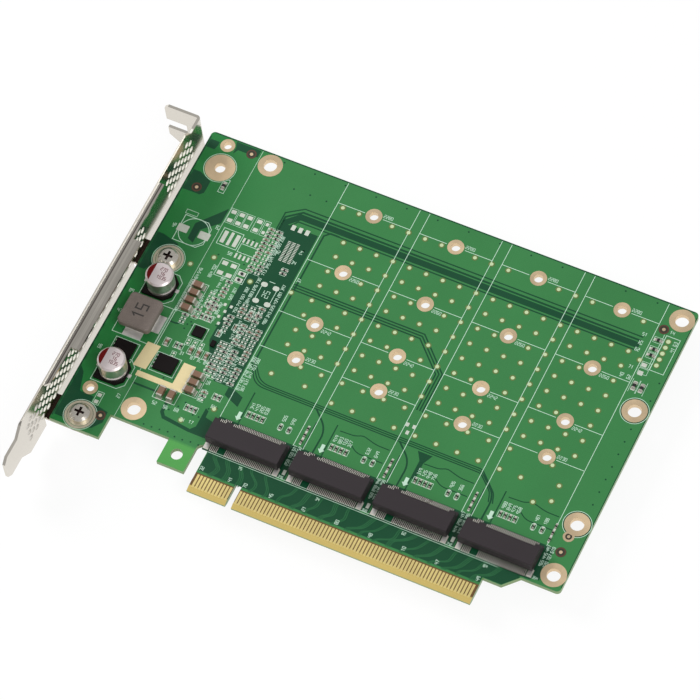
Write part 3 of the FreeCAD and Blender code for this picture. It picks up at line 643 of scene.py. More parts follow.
class BoardSettings(bpy.types.PropertyGroup):
    """Colours of the board and of what is printed and plated on it."""
    lacquer: colour("Lacquer", (0.036, 0.195, 0.056), "Green lacquer over copper")
    dark_lacquer: colour("Lacquer without copper", (0.002, 0.060, 0.022), "Lacquer over bare laminate")
    # painted shade: the darker green that the lacquer takes by the bracket
    deep_lacquer: colour("Lacquer by the bracket", (0.012, 0.172, 0.036), "Deeper green by the bracket")
    bare: colour("Connector laminate", (0.13, 0.070, 0.022), "Bare laminate between the contacts")
    bevel: colour("Connector bevel", (0.55, 0.42, 0.13), "Bare laminate of the bevelled edge")
    open_copper: colour("Open copper", (0.76, 0.64, 0.36), "Plated areas of the power part")
    pale_plating: colour("Bracket rings", (0.66, 0.60, 0.47), "Plating under the bracket screws")
    hook_lacquer: colour("Lacquer of the hook", (0.075, 0.315, 0.070), "Lighter green of the hook tab")
    via: colour("Filled vias", (0.51, 0.62, 0.36), "Vias under thin lacquer")
    via_rim: colour("Rims of vias", (0.105, 0.165, 0.035), "Lacquer round the vias")
    trace: colour("Trace", (0.014, 0.112, 0.038), "Lacquer over a trace")
    laminate: colour("Laminate", (0.21, 0.32, 0.13), "Cut edge of the laminate")
    ink: colour("Ink", (0.50, 0.70, 0.56), "Printed lines and figures")
    gold: colour("Plated copper", (0.80, 0.62, 0.40), "Rings and lands")
    bright_gold: colour("Edge contacts", (1.0, 0.81, 0.33), "Gold of the edge connector")
    solder: colour("Solder", (0.82, 0.80, 0.77), "Tinned lands and joints")
    raised: length("Relief", 0.00003, "Height of copper and ink over the board")


class BracketSettings(bpy.types.PropertyGroup):
    """Nickel-plated sheet and screws."""
    nickel: colour("Nickel", (0.70, 0.66, 0.59), "Plated sheet")
    polish: amount("Roughness", 0.16, "How dull the sheet is")


class SocketSettings(bpy.types.PropertyGroup):
    """Drive sockets."""
    housing: colour("Housing", (0.028, 0.022, 0.025), "Moulded housing")
    contact: colour("Contact", (0.86, 0.82, 0.74), "Plated contact")


class PowerSettings(bpy.types.PropertyGroup):
    """Capacitors, inductor and packages."""
    can: colour("Can", (0.85, 0.76, 0.76), "Drawn can")
    stripe: colour("Stripe", (0.14, 0.001, 0.002), "Printed mark on the can")
    core: colour("Core", (0.19, 0.155, 0.135), "Pressed powder core")
    resin: colour("Resin", (0.005, 0.003, 0.003), "Moulded package")
    ceramic: colour("Ceramic", (0.185, 0.100, 0.060), "Body of a ceramic capacitor")


SETTINGS = {"card_stage": StageSettings, "card_board": BoardSettings, "card_bracket": BracketSettings,
            "card_sockets": SocketSettings, "card_power": PowerSettings}
FINISHES = {}


def settings(name):
    """The settings kept with the scene."""
    return getattr(bpy.context.scene, name)



# Makers of finishes that change over a surface, and what they are given.
SPECIAL = {
    "lacquer": (lacquer_finish, "board.lacquer", "board.laminate", "board.deep_lacquer",
                "board.hook_lacquer"),
    "dark lacquer": (lacquer_finish, *["board.dark_lacquer"] * 4, 0.3, 0.06),
    "trace lacquer": (lacquer_finish, *["board.trace"] * 4),
    "nickel": (sheet_finish, "bracket.nickel", "bracket.polish"),
    "screw": (screw_finish, "bracket.nickel", 0.2),
}
# Even finishes: a setting or a colour, how rough it is, and what differs from the usual values.
PLAIN = {
    "via": ("board.via", 0.35, dict(coat=0.3, unevenness=0.2, patches=600.0)),
    "via rim": ("board.via_rim", 0.35, dict(coat=0.3, specks=0.1)),
    "ink": ("board.ink", 0.6, dict(unevenness=0.1, specks=0.15, smudge=0.05)),
    "plated copper": ("board.gold", 0.34, dict(metal=1.0, unevenness=0.18, specks=0.12, patches=300.0,
                                               smudge=0.2, scale=2200.0)),
    "open copper": ("board.open_copper", 0.45, dict(metal=0.3, unevenness=0.1, specks=0.1)),
    "pale plating": ("board.pale_plating", 0.34, dict(metal=1.0, unevenness=0.18, specks=0.12,
                                                      patches=300.0, smudge=0.2)),
    "edge gold": ("board.bright_gold", 0.24, dict(metal=0.85, stretch=(1.0, 0.08, 1.0), smudge=0.12)),
    "solder": ("board.solder", 0.28, dict(metal=0.8, unevenness=0.2, patches=700.0, scale=1500.0,
                                          depth=0.00002, smudge=0.2)),
    "housing": ("sockets.housing", 0.46, dict(specular=0.25, specks=0.25, speck_size=5000.0,
                                              scale=5000.0, depth=0.00001)),
    # painted shade: near-black for the socket openings and the shadows round the sockets
    "slot": ((0.004, 0.006, 0.005), 0.6, dict(specular=0.1, specks=0.2)),
    "contact": ("sockets.contact", 0.26, dict(metal=0.75, unevenness=0.15, smudge=0.15)),
    "can": ("power.can", 0.3, dict(metal=1.0, unevenness=0.08, smudge=0.12, scale=2500.0,
                                   stretch=(1.0, 1.0, 0.06), depth=0.000006)),
    "stripe ink": ("power.stripe", 0.5, dict(specular=0.2)),
    "can figures": ((0.16, 0.03, 0.04), 0.4, {}),
    "core": ("power.core", 0.55, dict(unevenness=0.2, patches=300.0, specks=0.5, speck_size=4200.0,
                                      scale=3500.0, depth=0.00003)),
    "core number": ((0.05, 0.045, 0.042), 0.7, dict(specks=0.3)),
    "resin": ("power.resin", 0.48, dict(specular=0.12, unevenness=0.15, specks=0.4,
                                        speck_size=4200.0, scale=4200.0, depth=0.00001)),
    "ceramic": ("power.ceramic", 0.4, dict(unevenness=0.15, specks=0.2, coat=0.15, patches=500.0)),
    "resistor": ((0.02, 0.018, 0.02), 0.35, dict(specks=0.2, specular=0.25)),
    "tinned end": ((0.56, 0.53, 0.47), 0.34, dict(metal=0.9, unevenness=0.25, patches=900.0,
                                                  smudge=0.2)),
    "tin land": ((0.60, 0.64, 0.56), 0.42, dict(metal=0.5, unevenness=0.25, patches=900.0,
                                                smudge=0.2)),
    "clearing": ((0.022, 0.018, 0.008), 0.5, dict(specks=0.15)),
    "rust rim": ((0.085, 0.030, 0.012), 0.5, dict(specks=0.15)),
}


def picked(given):
    """A setting by its group and name, or the given value itself."""
    if not isinstance(given, str):
        return given
    group, name = given.split(".")
    return getattr(settings("card_" + group), name)


def finish_of(name):
    """A finish by its name, made the first time that it is asked for."""
    if name not in FINISHES:
        if name in SPECIAL:
            maker, *given = SPECIAL[name]
            FINISHES[name] = maker(name, *map(picked, given))
        else:
            base, rough, more = PLAIN[name]
            FINISHES[name] = plain_finish(name, picked(base), rough, **more)
    return FINISHES[name]


def dress(start, finish):
    """Give each node whose name starts so a finish."""
    for name, node in NODES.items():
        if name.startswith(start):
            if not node.material_slots:
                node.data.materials.append(finish_of(finish))
            for slot in node.material_slots:
                slot.material = finish_of(finish)


# ---------------------------------------------------------------- board
INNER = LEFT + 0.6  # how near the dark areas come to the bracket end of the board
DARK_AREAS = [
    rectangle(LEFT + 1.0, FAR - 0.4, RIGHT - 1.4, FAR - 0.05),
    rectangle(RIGHT - 0.3, 14.0, RIGHT - 0.05, FAR - 1.6),
    rectangle(LEFT + 0.05, 6.0, LEFT + 0.5, FAR - 1.6),
    [(INNER, 100.6), (-54.4, 100.6), (-54.0, 102.0), (-54.0, 103.4), (INNER, 103.4)],
    [(-48.9, 101.4), (-48.0, 103.0), (-41.8, 103.0), (-41.8, FAR - 0.6), (-49.6, FAR - 0.6),
     (-48.9, 103.6)],
    [(INNER, 85.5), (-51.6, 85.5), (-50.6, 86.5), (-50.6, 90.6), (-54.6, 92.4), (INNER, 92.4)],
    [(-46.2, 70.6), (-48.2, 71.4), (-48.4, 76.6), (-41.7, 84.6), (-41.7, 79.4), (-46.2, 75.2)],
    [(-30.3, 22.4), (-29.3, 22.4), (-29.2, 19.2), (-28.4, 18.2), (-20.2, 17.2), (-19.0, 18.6),
     (-19.0, 24.8), (-17.9, 24.2), (-17.8, 22.2), (-14.1, 21.4), (-14.1, 16.2), (-20.4, 16.2),
     (-28.8, 17.1), (-30.2, 18.8)],
    [(-16.2, 33.2), (-16.2, 30.6), (-11.2, 28.6), (-11.2, 31.8), (-14.6, 33.2)],
    [(INNER, 57.5), (-55.0, 57.5), (-53.4, 60.0), (-55.2, 63.5), (-52.6, 66.0), (-49.8, 67.4),
     (-49.6, 68.6), (-55.0, 70.0), (INNER, 70.0)],
    [(-24.6, 86.5), (-14.7, 86.5), (-14.7, 33.3), (-20.8, 33.3), (-24.0, 36.5), (-27.8, 44.5),
     (-27.8, 67.0), (-24.6, 71.0)],
    [(-12.4, 6.75), (72.4, 6.75), (72.4, 8.5), (78.0, 8.5), (81.6, 12.2), (81.6, 12.9),
     (-12.4, 12.9)],
    [(INNER, 6.5), (-45.4, 6.5), (-43.2, 9.4), (-43.4, 12.8), (-46.4, 13.4), (-49.2, 13.4),
     (-49.2, 15.6), (-53.6, 15.8), (-55.4, 21.5), (INNER, 23.0)],
]


def dot_places():
    """Middles of the small dark dots, some in rows and some drawn by lot within an area."""
    lots = random.Random(21)
    places = [(90.6, 36.0 + 4.2 * n) for n in range(8)] + [(91.9, 75.5 + 6.0 * n) for n in range(4)]
    places += [(-34.0 + 9.6 * n, FAR - 1.5) for n in range(13)]
    places += [(-27.7 + 5.1 * n, 97.7) for n in range(3)]
    places += [(-35.0 + 2.4 * n, 14.2 - lots.random()) for n in range(9)]
    for left, wide, low, deep, count in ((-52.0, 9.0, 22.0, 20.0, 7), (-36.0, 20.0, 20.0, 12.0, 22),
                                         (-38.0, 22.0, 44.0, 38.0, 46)):
        places += [(left + lots.random() * wide, low + lots.random() * deep) for n in range(count)]
    return places


def lay_bands(bare):
    """Gaps between runs of traces, which look darker than the planes beside them."""
    for middle, wide in ((93.0, 0.4), (91.75, 0.6), (90.15, 1.9), (88.5, 0.4)):
        across = -25.0 - (middle - 90) * 0.5
        bare.line([(across, 83.0), (across, middle - 3.2), (-21.8, middle), (82.0, middle)], wide)
    for step in (-1, 0, 1):
        shift, rise = step * 0.85, step * 0.62
        bare.line([(-14.0, 69.0 + shift), (26.0 + shift * 0.4, 69.0 + shift),
                   (35.3 + shift, 60.0 + shift * 0.4), (35.3 + shift, 47.5)], 0.42)
        bare.line(bend([(-13.2 + rise, 43.0), (-9.5 + rise, 37.4 + rise), (30.0, 37.4 + rise)], 3.0)
                  + bend([(30.0, 37.4 + rise), (58.8, 37.4 + rise), (64.0 + rise, 32.6),
                          (65.0 + rise, 29.6)], 1.0)[1:], 0.34)
    bare.line([(-9.0, 88.6), (-11.8, 88.6), (-13.2, 87.2), (-13.2, 43.0)], 0.5)
    for shift in (0.0, 25.4, 50.8):
        bare.line(bend([(9.0 + shift, 36.8), (14.2 + shift, 32.0), (14.0 + shift, 24.0)], 4.0), 0.5)
        bare.line(bend([(18.0 + shift, 33.2), (22.5 + shift, 33.4), (24.5 + shift, 34.4),
                        (29.0 + shift, 33.2), (33.0 + shift, 33.2)], 1.5), 0.3)
        bare.line(bend([(19.0 + shift, 30.8), (22.0 + shift, 31.0), (25.0 + shift, 28.8),
                        (33.0 + shift, 28.8)], 1.5), 0.3)
    for across in (11.0, 36.4, 61.8):
        bare.stroke(across, 12.9, across, 33.0, 0.45)
    bare.stroke(-41.3, 24.0, -34.0, 24.0, 0.6)
    bare.add([(40.2, 36.2), (44.6, 36.2), (43.2, 33.2), (42.1, 33.2)])
    bare.add(rectangle(42.1, 27.8, 43.2, 33.3))
    bare.line(bend([(-41.0, 45.5), (-37.8, 45.5), (-37.3, 49.2)], 2.0), 0.5)


class CARD_OT_board(bpy.types.Operator):
    """Lacquer the board, and lay the dark strips where there is no copper under the lacquer"""
    bl_idname = "card.board"
    bl_label = "Board"

    def execute(self, context):
        dress("circuit_board", "lacquer")
        bare = on_board(0.3)
        for outline in DARK_AREAS:
            bare.add(outline)
        bare.discs(dot_places(), 0.27, 12)
        bare.washers(SIDE_HOLES, 3.9, 3.6, 56)
        lay_bands(bare)
        for middle, (low, high) in zip(COLUMNS, SOCKETS):
            bare.stroke(middle - 5.7, high.y + 0.2, middle - 5.7, 34.6, 0.35)
            bare.add(rectangle(low.x - 0.4, low.y - 2.1, high.x + 0.4, high.y + 1.2))
            bare.add(rectangle(high.x + 0.2, low.y - 1.4, high.x + 2.6, high.y + 1.2))
        bare.build("bare_laminate_strips", "dark lacquer", "solder_mask")
        return {"FINISHED"}


def draw_traces(relief):
    """Runs of traces that sweep from the edge contacts up to the socket tails."""
    lots = random.Random(11)
    first, last = FINGER_LOW.x + 0.35, FINGER_HIGH.x - 0.35
    low, high = FINGER_HIGH.y + 0.75, SOCKET_BACK - 1.7
    for number, middle in enumerate(COLUMNS):
        for run in range(5):
            tail = middle - 8.0 + 3.9 * run + lots.random()
            finger = first + (last - first) * (number * 5 + run + 0.5) / 20
            reach = max(-6.0, min(6.0, tail - finger))
            knee = low + 0.2 + lots.random() * 2.2
            bulge = 0.6 + lots.random() * 1.6
            for place in range(1 + lots.randint(1, 2)):
                side = place * 0.52
                relief.line(bend([(finger + side, low), (finger + bulge * 0.5 + side, knee),
                                  (finger + reach * 0.5 + bulge + side, knee + 1.6),
                                  (finger + reach * 0.9 + side, high - 1.4),
                                  (finger + reach + side, high)], 2.2), 0.3)


def via_places():
    """Middles of the stitching vias between the drive columns."""
    places = []
    for up in (97.6, 87.4, 82.4, 77.3, 72.2, 67.1, 62.0, 56.9, 51.8):
        for number in range(18):
            across = -7.2 + 5.13 * number
            near = min(math.hypot(across - middle, up - row) for middle, row in DRIVE_HOLES)
            if near > (3.9 if up > 97.0 else 3.3):
                places.append((across, up))
    for number in range(13):
        across = -0.7 + 6.36 * number
        if number != 11:
            places.append((across, 46.8))
        if 1 < number < 12:
            places.append((across, 40.0))
    return places + [(-23.7, 18.7), (-16.8, 25.4), (-25.7, 65.7), (-7.3, 41.8), (3.0, 41.8),
                     (79.9, 41.8), (79.9, 36.7), (75.4, 34.5), (-12.3, 97.6), (-13.6, 67.1),
                     (-38.5, 68.7), (-43.7, 64.2), (84.0, 86.1)]


HEADER = (88.9, 86.3, 2.03, 5)  # first pin across and up, step and count
HEADER_PINS = [(HEADER[0], HEADER[1] + number * HEADER[2]) for number in range(HEADER[3])]


def lay_rings(lands):
    """The rings round the holes, and the alignment dots."""
    lands.washers(DRIVE_HOLES, 2.4, DRIVE_HOLE, 40)
    lands.washers(LARGE_HOLES, 3.6, LARGE_HOLE, 48)
    lands.washers([SPARE_EAR], 4.4, EAR_HOLE, 56)
    lands.washers(TOOLING_HOLES, 2.15, TOOLING_HOLE, 40)
    lands.discs(FIDUCIALS, 0.5, 24)
    lands.washers([TARGET], 1.6, 0.95)
    lands.discs([TARGET], 0.45, 20)


class CARD_OT_copper(bpy.types.Operator):
    """Plate the rings, lands, vias, hole walls and traces"""
    bl_idname = "card.copper"
    bl_label = "Copper"

    def execute(self, context):
        traces = on_board(0.55)
        draw_traces(traces)
        traces.build("lacquered_traces", "trace lacquer", "solder_mask")
        for side, end in ((1, ""), (-1, "_under")):
            lands, pale = on_board(side=side), on_board(side=side)
            vias, rims = on_board(0.9, side), on_board(0.6, side)
            lay_rings(lands)
            lands.build("plated_rings" + end, "plated copper", "gold_plating")
            for pins, radius, count in ((via_places(), 0.54, 20), (HEADER_PINS, 0.62, 24)):
                vias.discs(pins, radius, count)
                rims.discs(pins, 0.92, count)
            vias.build("filled_vias" + end, "via", "gold_plating")
            rims.build("via_rims" + end, "via rim", "solder_mask")
            for place in EARS:
                pale.washers([place], 4.4, 3.72, 56)
                pale.washers([place], 3.6, EAR_HOLE, 56)
            pale.build("bracket_rings" + end, "pale plating", "gold_plating")
        bare, walls = on_board(), Relief(UNDER, TOP)
        bare.add([(-43.9, 29.0), (-39.9, 29.0), (-39.3, 37.2), (-43.3, 37.2)])
        bare.add(rectangle(-41.8, 26.3, -27.3, 28.0))
        bare.add(rectangle(-31.0, 28.0, -27.3, 35.2))
        bare.build("open_copper", "open copper", "gold_plating")
        walls.washers(LARGE_HOLES, LARGE_HOLE, 1.93, 48)
        walls.washers(DRIVE_HOLES, DRIVE_HOLE, 1.29, 40)
        walls.washers([SPARE_EAR], EAR_HOLE, 1.54, 48)
        walls.washers(TOOLING_HOLES, TOOLING_HOLE, 1.15, 40)
        walls.build("plated_hole_walls", "plated copper", "gold_plating")
        clear, rust = on_board(0.94), on_board(0.97)
        clear.washers(FIDUCIALS, 1.5, 0.5)
        clear.washers([TARGET], 0.95, 0.45)
        rust.washers(FIDUCIALS, 1.42, 1.12)
        clear.build("alignment_clearings", "clearing", "solder_mask")
        rust.build("alignment_rims", "rust rim", "solder_mask")
        return {"FINISHED"}


# ---------------------------------------------------------------- print
# Rows of the smallest parts' footprints: their middle across, and the range of their middles up.
LADDERS = [(-27.5, 68.8, 83.2), (-25.1, 68.8, 83.2), (-35.0, 49.4, 53.0), (-31.9, 50.8, 57.0),
           (-23.5, 54.6, 58.2), (-21.0, 54.6, 58.4), (-18.6, 56.6, 59.2), (-37.6, 46.6, 49.2),
           (-21.6, 26.6, 29.2), (-24.0, 34.2, 44.8), (-22.3, 34.2, 44.8), (-19.6, 34.2, 44.4),
           (-16.3, 34.2, 39.4), (-16.3, 41.4, 52.2), (-25.6, 48.6, 53.4), (-20.9, 46.2, 52.4),
           (-18.6, 46.2, 54.6), (-33.6, 54.6, 58.2), (-31.0, 58.4, 63.4), (-18.4, 71.6, 72.8)]
LADDER_STEP = 1.2
CRYSTAL = (-19.8, 63.7, 1.8, 2.8)  # middle across and up, and how far its lands lie from it
PAIRS = [(-33.0, 41.6), (-31.0, 41.6), (-29.0, 41.6), (-35.0, 36.2), (-25.6, 28.6)]
# Empty lands by size: wide, deep, and their middles.
EMPTY_LANDS = [
    (1.5, 1.2, [(-39.9, 84.2), (-37.3, 84.2), (-34.8, 84.2), (-31.8, 84.2)]),
    (0.9, 1.0, [(-29.4, 84.2)]),
    (1.5, 1.2, [(-39.9, 81.3), (-37.3, 81.3), (-34.8, 81.3), (-31.8, 81.3)]),
    (0.9, 1.0, [(-29.4, 81.4)]),
    (1.2, 1.7, [(-22.2, 86.2), (-20.0, 86.2), (-17.9, 86.2)]),
    (3.3, 2.4, [(-50.9, 73.8), (-44.2, 73.8)]),
    (1.2, 4.0, [(-38.9, 75.9)]),
    (0.9, 4.4, [(-37.0, 75.9)]),
    (1.2, 4.0, [(-35.1, 75.9)]),
    (1.7, 1.3, [(-34.8, 68.3), (-32.1, 68.3), (-34.8, 65.0), (-32.1, 65.0)]),
    (2.2, 1.4, [(-28.9, 67.0), (-28.9, 64.9)]),
    (0.8, 0.9, [(-28.8, 56.3), (-26.9, 56.3), (-27.9, 54.3), (-28.8, 52.2), (-26.9, 52.2),
                (-27.9, 50.2)]),
    (1.2, 1.1, [(-47.9, 16.7), (-47.9, 14.5)]),
    (0.6, 0.6, [(across, up + rise) for across, up in PAIRS for rise in (0.5, -0.5)]),
    (0.9, 1.2, [(34.1, 42.4), (36.1, 42.4), (35.1, 40.1)]),
    (1.5, 1.2, [(85.8, 85.1)]),
    (1.5, 1.4, [(85.8, 82.4)]),
    (1.3, 1.0, [(85.9, 79.0), (88.1, 79.0), (85.9, 77.2), (88.1, 77.2)]),
]
# Printed rectangles: left, low, right, high and the line's width.
PRINTED_BOXES = [(-33.4, 73.0, -28.2, 75.8, 0.17), (-40.1, 73.2, -34.0, 78.6, 0.17),
                 (-36.2, 63.8, -30.8, 69.5, 0.15), (-30.4, 63.9, -27.4, 68.2, 0.15),
                 (-47.3, 88.4, -45.5, 93.0, 0.15), (-48.8, 13.6, -46.9, 17.7, 0.13),
                 (-52.5, 78.6, -48.9, 79.9, 0.11)]
PRINTED_BOXES += [(84.9, low, 87.6, low + 1.8, 0.11) for low in (82.2, 84.3, 87.6, 89.7, 92.8)]
# Columns of short numbers: middle across, and the range of heights.
NUMBER_COLUMNS = [(-23.4, 69.0, 83.0), (-29.9, 50.0, 56.0), (-33.2, 58.0, 64.0),
                  (-22.4, 47.0, 53.0), (-12.4, 33.5, 46.0), (-13.6, 33.5, 46.0),
                  (-25.9, 46.4, 48.0), (-28.4, 58.2, 63.6), (-25.4, 55.0, 65.0),
                  (-40.2, 57.8, 64.0), (-37.0, 62.6, 66.0), (-35.6, 50.0, 57.6),
                  (-40.8, 49.0, 56.0), (-24.2, 74.0, 84.0), (-23.6, 59.0, 69.0),
                  (-16.2, 55.0, 69.0), (-21.0, 34.0, 52.0), (-17.9, 34.0, 44.0)]
NUMBER_SPOTS = [(-53.6, 73.8), (-41.9, 77.8), (-55.0, 50.0), (-55.2, 43.0), (-55.0, 30.6),
                (-43.0, 18.6), (-35.0, 71.6), (-32.9, 20.6), (-29.5, 20.6), (-26.3, 21.0),
                (-22.0, 32.2), (-22.0, 29.4), (-22.0, 26.8), (-17.3, 26.0), (-23.6, 19.0),
                (-20.9, 19.2), (-33.0, 37.6), (-29.5, 37.4), (-27.4, 37.4), (-25.4, 37.4),
                (82.0, 94.0), (82.0, 91.2), (82.0, 88.9), (82.6, 83.2), (81.3, 80.0), (83.4, 80.0),
                (88.8, 97.4), (91.0, 94.4), (91.0, 92.4), (-13.2, 71.4), (-17.2, 76.0),
                (-16.6, 79.6), (-22.8, 77.4)]


def print_drives(ink):
    """Frames of the four drives, the lines over the connector and the arrows at the sockets."""
    top = FAR - 0.5
    for middle in COLUMNS:
        for side in (-1, 1):
            across = middle + side * COLUMN_HALF
            ink.stroke(across, top, across, SOCKET_FRONT + 1.0, 0.17)
        for up in DRIVE_ROWS.values():
            ink.stroke(middle - COLUMN_HALF, up, middle - 2.8, up, 0.17)
            ink.stroke(middle + 2.8, up, middle + COLUMN_HALF, up, 0.17)
        tip, low = middle - 6.55, SOCKET_FRONT + 1.9
        ink.add([(tip, low), (tip + 1.0, low + 1.1), (tip + 0.5, low + 1.1), (tip + 0.5, low + 2.8),
                 (tip - 0.5, low + 2.8), (tip - 0.5, low + 1.1), (tip - 1.0, low + 1.1)])
    for up in (12.85, 13.4):
        ink.stroke(-12.4, up, 75.0, up, 0.13)
    ink.stroke(-41.2, top, -41.2, SOCKET_BACK - 2.5, 0.11)
    for places, radius in ((SIDE_HOLES, 4.0), ([SPARE_EAR] + EARS, 4.7)):
        for place in places:
            ink.line(circle(*place, radius, 56), 0.16, closed=True)


def print_power(ink):
    """Outlines of the power parts."""
    for number in (1, 2):
        low, high = box_mm("capacitor_base_%d" % number)
        ink.line([(low.x - 0.6, low.y - 0.6), (high.x - 1.2, low.y - 0.6),
                  (high.x + 0.6, low.y + 1.2), (high.x + 0.6, high.y - 1.2),
                  (high.x - 1.2, high.y + 0.6), (low.x - 0.6, high.y + 0.6)], 0.18, closed=True)
    low, high = box_mm("inductor_core")
    ink.frame(low.x - 0.9, low.y - 1.6, high.x + 2.6, high.y + 0.9, 0.18)
    ink.stroke(high.x + 1.9, low.y - 1.6, high.x + 1.9, high.y + 0.9, 0.15)
    for node in ("power_transistor_1", "power_transistor_2", "driver_chip"):
        low, high = box_mm(node)
        ink.frame(low.x - 0.9, low.y - 0.55, high.x + 0.55, high.y + 0.55, 0.18)
    for first, last in ((1, 4), (5, 7), (8, 9)):
        lows, highs = zip(*(box_mm("ceramic_capacitor_%02d" % n) for n in range(first, last + 1)))
        low, high = Vector(map(min, zip(*lows))), Vector(map(max, zip(*highs)))
        ink.frame(low.x - 1.0, low.y - 0.5, high.x + 1.0, high.y + 0.5, 0.15)
    across, up = -47.5, 73.8
    ink.line(circle(across, up, 4.35, 56), 0.2, closed=True)
    ink.line([(across - 4.6, up - 4.3), (across + 2.6, up - 4.3), (across + 4.3, up - 2.6),
              (across + 4.3, up + 2.6), (across + 2.6, up + 4.3), (across - 4.6, up + 4.3)],
             0.2, closed=True)


def print_small(ink):
    """Outlines of the small parts, of the header and of the empty footprints."""
    for across, low, high in LADDERS:
        for step in range(round((high - low) / LADDER_STEP) + 2):
            up = low + (step - 0.5) * LADDER_STEP
            ink.stroke(across - 0.95, up, across + 0.95, up, 0.11)
    for middle in COLUMNS:
        for place in range(5):
            across = middle - 5.0 + place * 1.43
            ink.stroke(across, 26.7, across, 28.7, 0.12)
        for up in (26.7, 28.7):
            ink.stroke(middle - 5.0, up, middle + 0.72, up, 0.12)
        for across in (middle + 5.5, middle + 8.1):
            ink.line(rounded(across, 27.7, 1.3, 2.2, 0.6), 0.14, closed=True)
    (across, low), high = HEADER_PINS[0], HEADER_PINS[-1][1]
    ink.frame(across - 1.2, low - 2.0, across + 2.9, high + 1.6, 0.17)
    ink.stroke(across - 1.8, low - 2.0, across - 1.8, high + 1.6, 0.14)
    across, up, wide, deep = CRYSTAL
    for side in (-2.3, 2.3):
        ink.stroke(across + side, up - deep, across + side, up + deep, 0.17)
    for rise in (4.2, -4.2):
        ink.stroke(across - 0.9, up + rise, across + 0.9, up + rise, 0.17)
    for node in ("power_resistors", "power_capacitors"):
        for low, high in loose_boxes(node):
            ink.frame(low.x - 0.5, low.y - 0.5, high.x + 0.5, high.y + 0.5, 0.12)
    for wide, deep, places in EMPTY_LANDS[:2]:
        for across, up in places:
            ink.frame(across - wide / 2 - 0.35, 80.3, across + wide / 2 + 0.35, up + 1.0, 0.11)
    for across, up in PAIRS:
        ink.frame(across - 0.65, up - 1.1, across + 0.65, up + 1.1, 0.12)
    for box in PRINTED_BOXES:
        ink.frame(*box)
    for across in (85.9, 88.1):
        for side in (-1.0, 1.0):
            ink.stroke(across + side, 75.9, across + side, 80.2, 0.12)


def print_figures(labels):
    """Plain numbers beside holes, contacts and parts."""
    lots = random.Random(4)
    for middle in COLUMNS:
        for size, up in DRIVE_ROWS.items():
            rise = 1.15 if size in (30, 80) else -1.15
            labels.number(2200 + size, middle + 4.0, up + rise, 0.95, wide=0.12)
        for place in range(4):
            labels.number(lots.randint(100, 999), middle - 4.3 + place * 1.43, 30.6, 0.95, 1)
        for across in (5.5, 8.1):
            labels.number(lots.randint(100, 999), middle + across, 30.6, 0.9, 1)
        for up in (18.6, 21.0, 23.4):
            for across in (12.0, 13.3):
                labels.number(lots.randint(100, 999), middle + across, up, 0.85, 1)
        labels.number(lots.randint(100, 999), middle + 12.3, 13.9, 0.7, wide=0.12)
    labels.number(25, CRYSTAL[0], CRYSTAL[1], 1.7, 1, 0.16)
    for across in (-11.6, -3.0, 1.6, 9.4, 19.4, 29.4, 39.4, 49.4, 59.4, 71.6):
        labels.number(lots.randint(10, 82), across, 7.6, 0.95, 1, 0.14)
    for across in (-2.0, 21.5, 47.5, 71.8):
        labels.number(lots.randint(10, 99), across, 11.8, 0.8)
    for across, low, high in NUMBER_COLUMNS:
        up = low + 0.8
        while up < high:
            labels.number(lots.randint(100, 999), across, up, 0.85, 1)
            up += 2.35
    for across, up in NUMBER_SPOTS:
        labels.number(lots.randint(10, 99), across, up, 0.95, lots.choice((0, 1)), 0.14)


class CARD_OT_print(bpy.types.Operator):
    """Print the lines, outlines and plain figures"""
    bl_idname = "card.print"
    bl_label = "Print"

    def execute(self, context):
        ink, labels = on_board(0.8), on_board(0.75)
        print_drives(ink)
        print_power(ink)
        print_small(ink)
        ink.build("printed_marks", "ink", "solder_mask")
        print_figures(labels)
        labels.build("printed_figures", "ink", "solder_mask")
        return {"FINISHED"}


# ---------------------------------------------------------------- small parts
FILM = 0.015  # thickness of the tin over a chip's ends


def tin(ends, lands, low, high):
    """Tinned ends of one chip part, its fillets and its lands."""
    size = high - low
    along = 0 if size.x > size.y else 1
    aside = 1 - along
    reach = min(0.45, size[along] * 0.24)
    for side, end_face in ((-1, low[along]), (1, high[along])):
        start, end = low.copy(), high.copy()
        if side > 0:
            start[along] = end_face - reach
        else:
            end[along] = end_face + reach
        ends.brick(start - Vector((FILM, FILM, 0.0)), end + Vector((FILM, FILM, FILM)), 0.03)
        corner = Vector((low.x, low.y, TOP))
        corner[along] = end_face
        out, across = Vector((0.0, 0.0)), Vector((0.0, 0.0))
        out[along] = side * min(0.4, size.z * 0.8)
        across[aside] = size[aside]
        ends.wedge(corner, out, across, size.z * 0.75)
        middle = (low + high) / 2
        middle[along] = end_face + side * 0.12
        half = Vector((size[aside] / 2 + 0.06,) * 2)
        half[along] = min(0.5, reach + 0.2)
        lands.patch(middle.x, middle.y, half.x * 2, half.y * 2)


def fit(body, ends, lands, left, low, right, high, tall):
    """One chip part, tinned and soldered down."""
    start, end = Vector((left, low, TOP)), Vector((right, high, TOP + tall))
    body.brick(start, end)
    tin(ends, lands, start, end)


